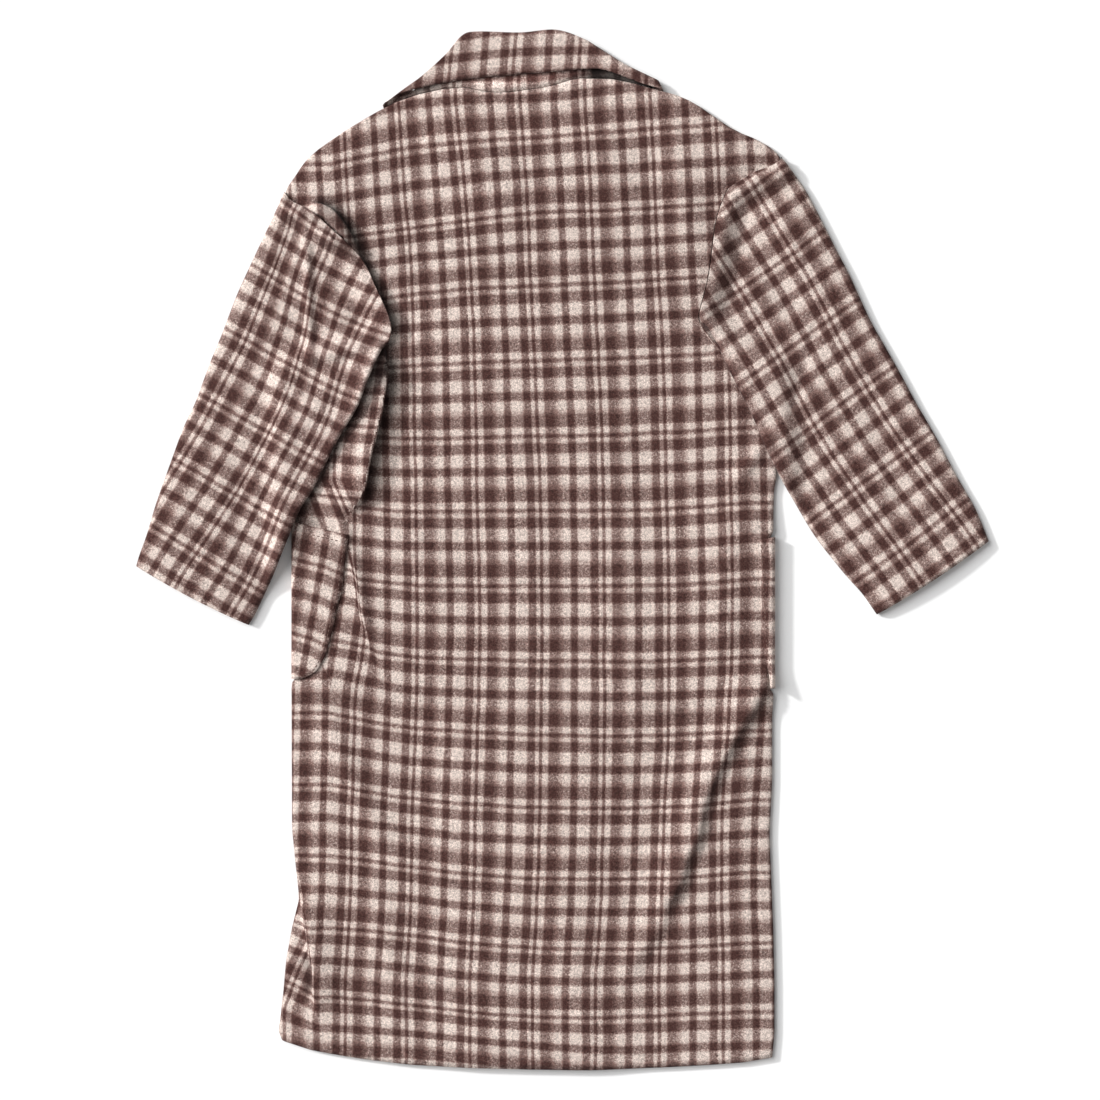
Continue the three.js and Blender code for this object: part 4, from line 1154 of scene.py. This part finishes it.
class Val:
    """A node socket that can stand in sums, so shader maths reads as an expression."""

    def __init__(self, shader, socket):
        self.shader, self.socket = shader, socket

    def _math(self, operation, *values):
        return self.shader.node("ShaderNodeMath", {"operation": operation}, dict(enumerate(values)))

    def _operator(operation, swapped=False):
        def act(self, other):
            return self._math(operation, *((other, self) if swapped else (self, other)))

        return act

    __add__, __radd__ = _operator("ADD"), _operator("ADD", True)
    __sub__, __rsub__ = _operator("SUBTRACT"), _operator("SUBTRACT", True)
    __mul__, __rmul__ = _operator("MULTIPLY"), _operator("MULTIPLY", True)
    __truediv__ = _operator("DIVIDE")

    def fraction(self):
        return self._math("FRACT", self)

    def clamped(self):
        return self._math("MINIMUM", self._math("MAXIMUM", self, 0.0), 1.0)


class Shader:
    """A new material with one method for all its nodes."""

    def __init__(self, name):
        self.material = bpy.data.materials.new(name)
        self.material.use_nodes = True
        self.tree = self.material.node_tree
        self.tree.nodes.clear()

    def node(self, kind, settings=None, values=None, output=0):
        node = self.tree.nodes.new(kind)
        for key, value in (settings or {}).items():
            setattr(node, key, value)
        for key, value in (values or {}).items():
            if isinstance(value, Val):
                self.tree.links.new(value.socket, node.inputs[key])
            else:
                node.inputs[key].default_value = value
        return Val(self, node.outputs[output]) if len(node.outputs) else node

    def ramp(self, value, stops):
        made = self.node("ShaderNodeValToRGB", values={"Fac": value})
        elements = made.socket.node.color_ramp.elements
        while len(elements) < len(stops):
            elements.new(0.5)
        for element, (place, tone) in zip(elements, sorted(stops)):
            element.position = place
            element.color = tone if hasattr(tone, "__len__") else (tone, tone, tone, 1)
        return made

    def mix(self, share, a, b, blend="MIX"):
        settings = {"data_type": "RGBA", "blend_type": blend}
        return self.node("ShaderNodeMix", settings, {0: share, 6: a, 7: b}, output=2)

    def grey(self, colour):
        return self.node("ShaderNodeRGBToBW", values={0: colour})

    def split(self, vector):
        """The first two parts of a vector."""
        outputs = self.node("ShaderNodeSeparateXYZ", values={0: vector}).socket.node.outputs
        return Val(self, outputs[0]), Val(self, outputs[1])

    def surface(self, colour, roughness, specular, more=None):
        """The finished material."""
        values = {"Base Color": colour, "Roughness": roughness, "Specular IOR Level": specular}
        skin = self.node("ShaderNodeBsdfPrincipled", values={**values, **(more or {})})
        self.node("ShaderNodeOutputMaterial", values={"Surface": skin})
        return self.material

    def noise(self, place, scale, detail, roughness=0.5):
        return self.node(
            "ShaderNodeTexNoise",
            values={"Vector": place, "Scale": scale, "Detail": detail, "Roughness": roughness},
        )


def stripe_stops(tones):
    return [(place / REPEAT, tone) for place, tone in tones]


# Noise of the cloth: wander of its lines (scale, reach), size of tufts and of the second hairs
# against the first, how far the second lie from the first, scale of lumps, height of the fibres
WANDER = {"scale": 22, "reach": 0.03}
TUFT, SECOND, LUMP = 2.6, 0.8, 210
APART = (3.1, 5.7, 1.3)
FIBRE = 0.0012


def wool(name, look, ends=()):
    s = Shader(name)
    place = s.node("ShaderNodeTexCoord", output=3)
    other = s.node("ShaderNodeVectorMath", {"operation": "ADD"}, {0: place, 1: APART})
    hair = s.noise(place, look.hair_scale, 3, 0.6)
    hair_2 = s.noise(other, look.hair_scale * SECOND, 3, 0.6)
    tuft = s.noise(place, look.hair_scale / TUFT, 2, 0.5)

    def tones(value, fray, start, table):
        """Tone of the yarns one way of the cloth."""
        wander = s.noise(start, WANDER["scale"], 1)
        value = value + (fray - 0.5) * look.fray + (wander - 0.5) * WANDER["reach"]
        return s.grey(s.ramp(value.fraction(), stripe_stops(table)))

    u, v = s.split(s.node("ShaderNodeUVMap", {"uv_map": "Cloth"}))
    warp, weft = tones(u, hair, place, WARP_TONES), tones(v, hair_2, other, WEFT_TONES)
    mixed = warp * (1 - weft) + weft * (1 - warp)
    speck = (hair_2 - 0.5) * 2 + (tuft - 0.5) * 0.6
    tone = ((warp + weft) * 0.5 + speck * (0.27 + 0.3 * mixed) * look.mottle).clamped()
    stops = [
        (0.0, linear(*look.brown)), (0.5, linear(*look.middle)), (1.0, linear(*look.cream)),
    ]
    edge = 4 * warp * (1 - warp) + 4 * weft * (1 - weft)
    fringe = (edge * (warp + weft) * look.fringe).clamped()
    colour = s.mix(fringe, s.ramp(tone, stops), linear(*look.fringe_tone))
    # Painted shade from the mesh layer darkens the colour; nap below holds the real hair noise and
    # this shade
    painted_shade = s.split(s.node("ShaderNodeUVMap", {"uv_map": "PaintedShade"}))[0]
    nap = (1 + look.nap * (hair - 0.5) + look.nap * 0.4 * (tuft - 0.5)) * (1 - painted_shade)
    # Painted shade: a ramp along x darkens the stand's ends, where the leaf shades them
    if ends:
        half = ends[-1][0] * MM
        stops = [((x * MM / half + 1) / 2, tone) for x, tone in ends]
        stand_painted_shade = s.grey(s.ramp((s.split(place)[0] / half + 1) * 0.5, stops))
        # Painted light: the gain brightens the stand's colour over its whole length
        nap = nap * stand_painted_shade * look.stand_painted_light
    grey = s.node("ShaderNodeCombineXYZ", values={0: nap, 1: nap, 2: nap})
    colour = s.mix(1.0, colour, grey, "MULTIPLY")
    fibre = hair * 0.6 + tuft * 0.8 + s.noise(place, LUMP, 2) * 0.6
    bump = s.node(
        "ShaderNodeBump", values={"Strength": look.bump, "Distance": FIBRE, "Height": fibre}
    )
    sheen = {"Sheen Weight": 0.05, "Sheen Roughness": 0.6, "Normal": bump}
    return s.surface(colour, 0.95, 0.15, sheen)


def thread(look):
    """Twisted sewing thread in the tone between the two yarns."""
    s = Shader("thread_brown")
    place = s.node("ShaderNodeTexCoord", output=3)
    stops = [(0.3, linear(*look.brown)), (0.7, linear(*look.thread_tone))]
    return s.surface(s.ramp(s.noise(place, 1400, 2), stops), 0.7, 0.3)


class CoatSizes(bpy.types.PropertyGroup):
    cloth: bpy.props.FloatProperty(
        name="Cloth", description="Thickness of the wool", default=0.0024, unit="LENGTH")
    seam: bpy.props.FloatProperty(
        name="Seam gap", description="Gap between sewn pieces", default=0.0003, unit="LENGTH")
    rest: bpy.props.FloatProperty(
        name="Sleeve gap", description="Gap below a sleeve lying on the body", default=0.001,
        unit="LENGTH")
    air: bpy.props.FloatProperty(
        name="Air", description="Air between back and fronts", default=0.0009, unit="LENGTH")
    fold_radius: bpy.props.FloatProperty(
        name="Fold radius", description="Width of a folded edge", default=0.005, unit="LENGTH")
    side_curl: bpy.props.FloatProperty(
        name="Side curl", description="Rise of the fronts at the side", default=0.0011,
        unit="LENGTH")
    puff: bpy.props.FloatProperty(
        name="Puff", description="Soft height of the back", default=0.0022, unit="LENGTH")
    collar_top: bpy.props.FloatProperty(
        name="Collar top", description="Height of the folded collar", default=0.0112,
        unit="LENGTH")
    sleeve_air: bpy.props.FloatProperty(
        name="Sleeve air", description="Air inside a sleeve", default=0.0035, unit="LENGTH")
    centre: bpy.props.FloatProperty(
        name="Centre", description="Middle of the fronts", default=-0.033, unit="LENGTH")
    lap: bpy.props.FloatProperty(
        name="Lap", description="Width the fronts lap by", default=0.08, unit="LENGTH")
    rounding: bpy.props.FloatProperty(
        name="Rounding", description="Reach of rounded outline corners", default=0.0022,
        unit="LENGTH")
    spread: bpy.props.FloatProperty(
        name="Spread", description="How softly the back covers what lies below", default=4)
    step: bpy.props.FloatProperty(
        name="Step", description="Distance between points of the cloth", default=0.0045,
        unit="LENGTH")


class CoatLook(bpy.types.PropertyGroup):
    cream: bpy.props.FloatVectorProperty(
        name="Cream", description="Light yarn, 8-bit", default=(207, 191, 182))
    middle: bpy.props.FloatVectorProperty(
        name="Middle", description="Light yarn on dark, 8-bit", default=(122, 98, 92))
    brown: bpy.props.FloatVectorProperty(
        name="Brown", description="Dark yarn, 8-bit", default=(66, 40, 36))
    fringe_tone: bpy.props.FloatVectorProperty(
        name="Fringe tone", description="Tint of stripe edges, 8-bit", default=(196, 146, 132))
    fringe: bpy.props.FloatProperty(
        name="Fringe", description="Strength of the tint", default=0.04)
    nap: bpy.props.FloatProperty(
        name="Nap", description="Contrast of single hairs and tufts", default=2.9)
    fray: bpy.props.FloatProperty(
        name="Fray", description="How far hairs cross a stripe edge", default=0.045)
    mottle: bpy.props.FloatProperty(
        name="Mottle", description="Contrast of the yarns where they mix", default=1.1)
    hair_scale: bpy.props.FloatProperty(
        name="Hair scale", description="Scale of the nap", default=980)
    bump: bpy.props.FloatProperty(name="Bump", description="Strength of the nap", default=0.3)
    thread_tone: bpy.props.FloatVectorProperty(
        name="Thread", description="Light side of the sewing thread, 8-bit", default=(136, 108, 98))
    # Painted light: lifts the stand's colour against the shade the leaf casts on it
    stand_painted_light: bpy.props.FloatProperty(
        name="Stand painted light", description="Lightness of the stand where the leaf leaves it open",
        default=1.5)


class CoatStage(bpy.types.PropertyGroup):
    middle: bpy.props.FloatVectorProperty(
        name="Middle", description="Point below the camera", default=(-0.01375, 0, 0),
        unit="LENGTH")
    height: bpy.props.FloatProperty(
        name="Camera height", description="Camera above the floor", default=3, unit="LENGTH")
    span: bpy.props.FloatProperty(
        name="Span", description="Width of the picture at the cloth", default=1.21, unit="LENGTH")
    floor: bpy.props.FloatProperty(
        name="Floor", description="Side of the floor", default=12, unit="LENGTH")
    tone: bpy.props.FloatVectorProperty(
        name="Tone", description="Colour of the floor, 8-bit", default=(243, 243, 243))
    sky: bpy.props.FloatProperty(
        name="Sky", description="Strength of the even light", default=0.33)
    soft: bpy.props.FloatProperty(
        name="Soft", description="Strength of the wide light", default=2.6)
    sun: bpy.props.FloatProperty(name="Sun", description="Strength of the key light", default=2.9)


def finish_piece(piece, node, material):
    """What every piece of cloth needs once its mesh is there."""
    piece.data.materials.append(material)
    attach(piece, "root")
    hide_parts(node)


def cloth_material(look):
    return bpy.data.materials.get("brushed_wool") or wool("brushed_wool", look)


class COAT_OT_fronts(bpy.types.Operator):
    """Lay the two fronts, which lap below the back"""

    bl_idname = "coat.fronts"
    bl_label = "Fronts"

    def execute(self, context):
        scene = context.scene
        form = Form(scene.coat_sizes)
        for side, node in ((-1, "front_left"), (1, "front_right")):
            piece = front_panel(form, side, scene.coat_sizes.step / MM * 2)
            finish_piece(
                piece, node, cloth_material(scene.coat_look),
            )
        return {"FINISHED"}


class COAT_OT_back(bpy.types.Operator):
    """Lay the back over the fronts"""

    bl_idname = "coat.back"
    bl_label = "Back"

    def execute(self, context):
        scene = context.scene
        piece = back_panel(Form(scene.coat_sizes), scene.coat_sizes.step / MM)
        finish_piece(
            piece, "back_panel", cloth_material(scene.coat_look),
        )
        return {"FINISHED"}


class COAT_OT_sleeves(bpy.types.Operator):
    """Spread the two sleeves down the sides"""

    bl_idname = "coat.sleeves"
    bl_label = "Sleeves"

    def execute(self, context):
        scene = context.scene
        form = Form(scene.coat_sizes)
        for side, area in ((-1, 0.123), (1, 0.142)):
            piece = sleeve(form, side, scene.coat_sizes.step / MM)
            finish_piece(
                piece, SLEEVES[side]["name"], cloth_material(scene.coat_look),
            )
        return {"FINISHED"}


class COAT_OT_collar(bpy.types.Operator):
    """Fold the collar leaf over its stand"""

    bl_idname = "coat.collar"
    bl_label = "Collar"

    def execute(self, context):
        scene = context.scene
        form = Form(scene.coat_sizes)
        # The stand gets a shaded copy of the wool, with painted shade at its ends and painted light
        finish_piece(
            collar_stand(form), "collar_stand",
            wool("brushed_wool_stand_painted_shade", scene.coat_look, STAND_SHADE),
        )
        finish_piece(
            collar_leaf(form), "collar_leaf", cloth_material(scene.coat_look),
        )
        return {"FINISHED"}


class COAT_OT_pockets(bpy.types.Operator):
    """Sew the patch pockets round the sides"""

    bl_idname = "coat.pockets"
    bl_label = "Pockets"

    def execute(self, context):
        scene = context.scene
        form = Form(scene.coat_sizes)
        material = thread(scene.coat_look)
        for side, area in ((-1, 0.03), (1, 0.027)):
            piece, seam = pocket(form, side)
            seam.data.materials.append(material)
            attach(seam, "root")
            finish_piece(
                piece, POCKETS[side]["name"], cloth_material(scene.coat_look),
            )
        return {"FINISHED"}


class COAT_OT_stage(bpy.types.Operator):
    """Set the floor, the camera straight above and the light from the upper left"""

    bl_idname = "coat.stage"
    bl_label = "Stage"

    def execute(self, context):
        scene, stage = context.scene, context.scene.coat_stage
        bpy.ops.mesh.primitive_plane_add(size=stage.floor, location=stage.middle)
        floor = context.active_object
        floor.name = "floor"
        floor.data.materials.append(Shader("floor_white").surface(linear(*stage.tone), 0.9, 0.1))

        camera = bpy.data.objects.new("camera", bpy.data.cameras.new("camera"))
        camera.data.sensor_width = SENSOR
        camera.data.lens = SENSOR * (stage.height - PICTURE_PLANE) / stage.span
        camera.data.clip_end = 50
        camera.location = Vector(stage.middle) + Vector((0, 0, stage.height))
        scene.collection.objects.link(camera)
        scene.camera = camera

        for name, energy in (("key", stage.sun), ("wide", stage.soft)):
            angle, way = LIGHTS[name]
            light = bpy.data.objects.new(name, bpy.data.lights.new(name, "SUN"))
            light.data.energy = energy
            light.data.angle = math.radians(angle)
            light.rotation_mode = "QUATERNION"
            light.rotation_quaternion = Vector(way).to_track_quat("-Z", "Y")
            scene.collection.objects.link(light)

        world = bpy.data.worlds.new("studio")
        world.use_nodes = True
        background = world.node_tree.nodes["Background"]
        background.inputs["Color"].default_value = (1, 1, 1, 1)
        background.inputs["Strength"].default_value = stage.sky
        scene.world = world
        scene.view_settings.view_transform = "Standard"
        return {"FINISHED"}


class COAT_PT_panel(bpy.types.Panel):
    bl_label = "Plaid wool coat"
    bl_idname = "COAT_PT_panel"
    bl_space_type = "VIEW_3D"
    bl_region_type = "UI"
    bl_category = "Coat"

    def draw(self, context):
        for operator in OPERATORS:
            self.layout.operator(operator.bl_idname)
        for group in (context.scene.coat_sizes, context.scene.coat_look, context.scene.coat_stage):
            for key in group.__annotations__:
                self.layout.prop(group, key)


OPERATORS = (
    COAT_OT_fronts, COAT_OT_back, COAT_OT_sleeves, COAT_OT_collar, COAT_OT_pockets, COAT_OT_stage,
)
GROUPS = {"coat_sizes": CoatSizes, "coat_look": CoatLook, "coat_stage": CoatStage}


def register():
    for group in (*GROUPS.values(), *OPERATORS, COAT_PT_panel):
        bpy.utils.register_class(group)
    for name, group in GROUPS.items():
        setattr(bpy.types.Scene, name, bpy.props.PointerProperty(type=group))


def unregister():
    for name in GROUPS:
        delattr(bpy.types.Scene, name)
    for group in (COAT_PT_panel, *reversed(OPERATORS), *GROUPS.values()):
        bpy.utils.unregister_class(group)


def main():
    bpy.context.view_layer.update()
    register()
    for name in ("fronts", "back", "sleeves", "collar", "pockets", "stage"):
        getattr(bpy.ops.coat, name)()


if __name__ == "__main__":
    main()
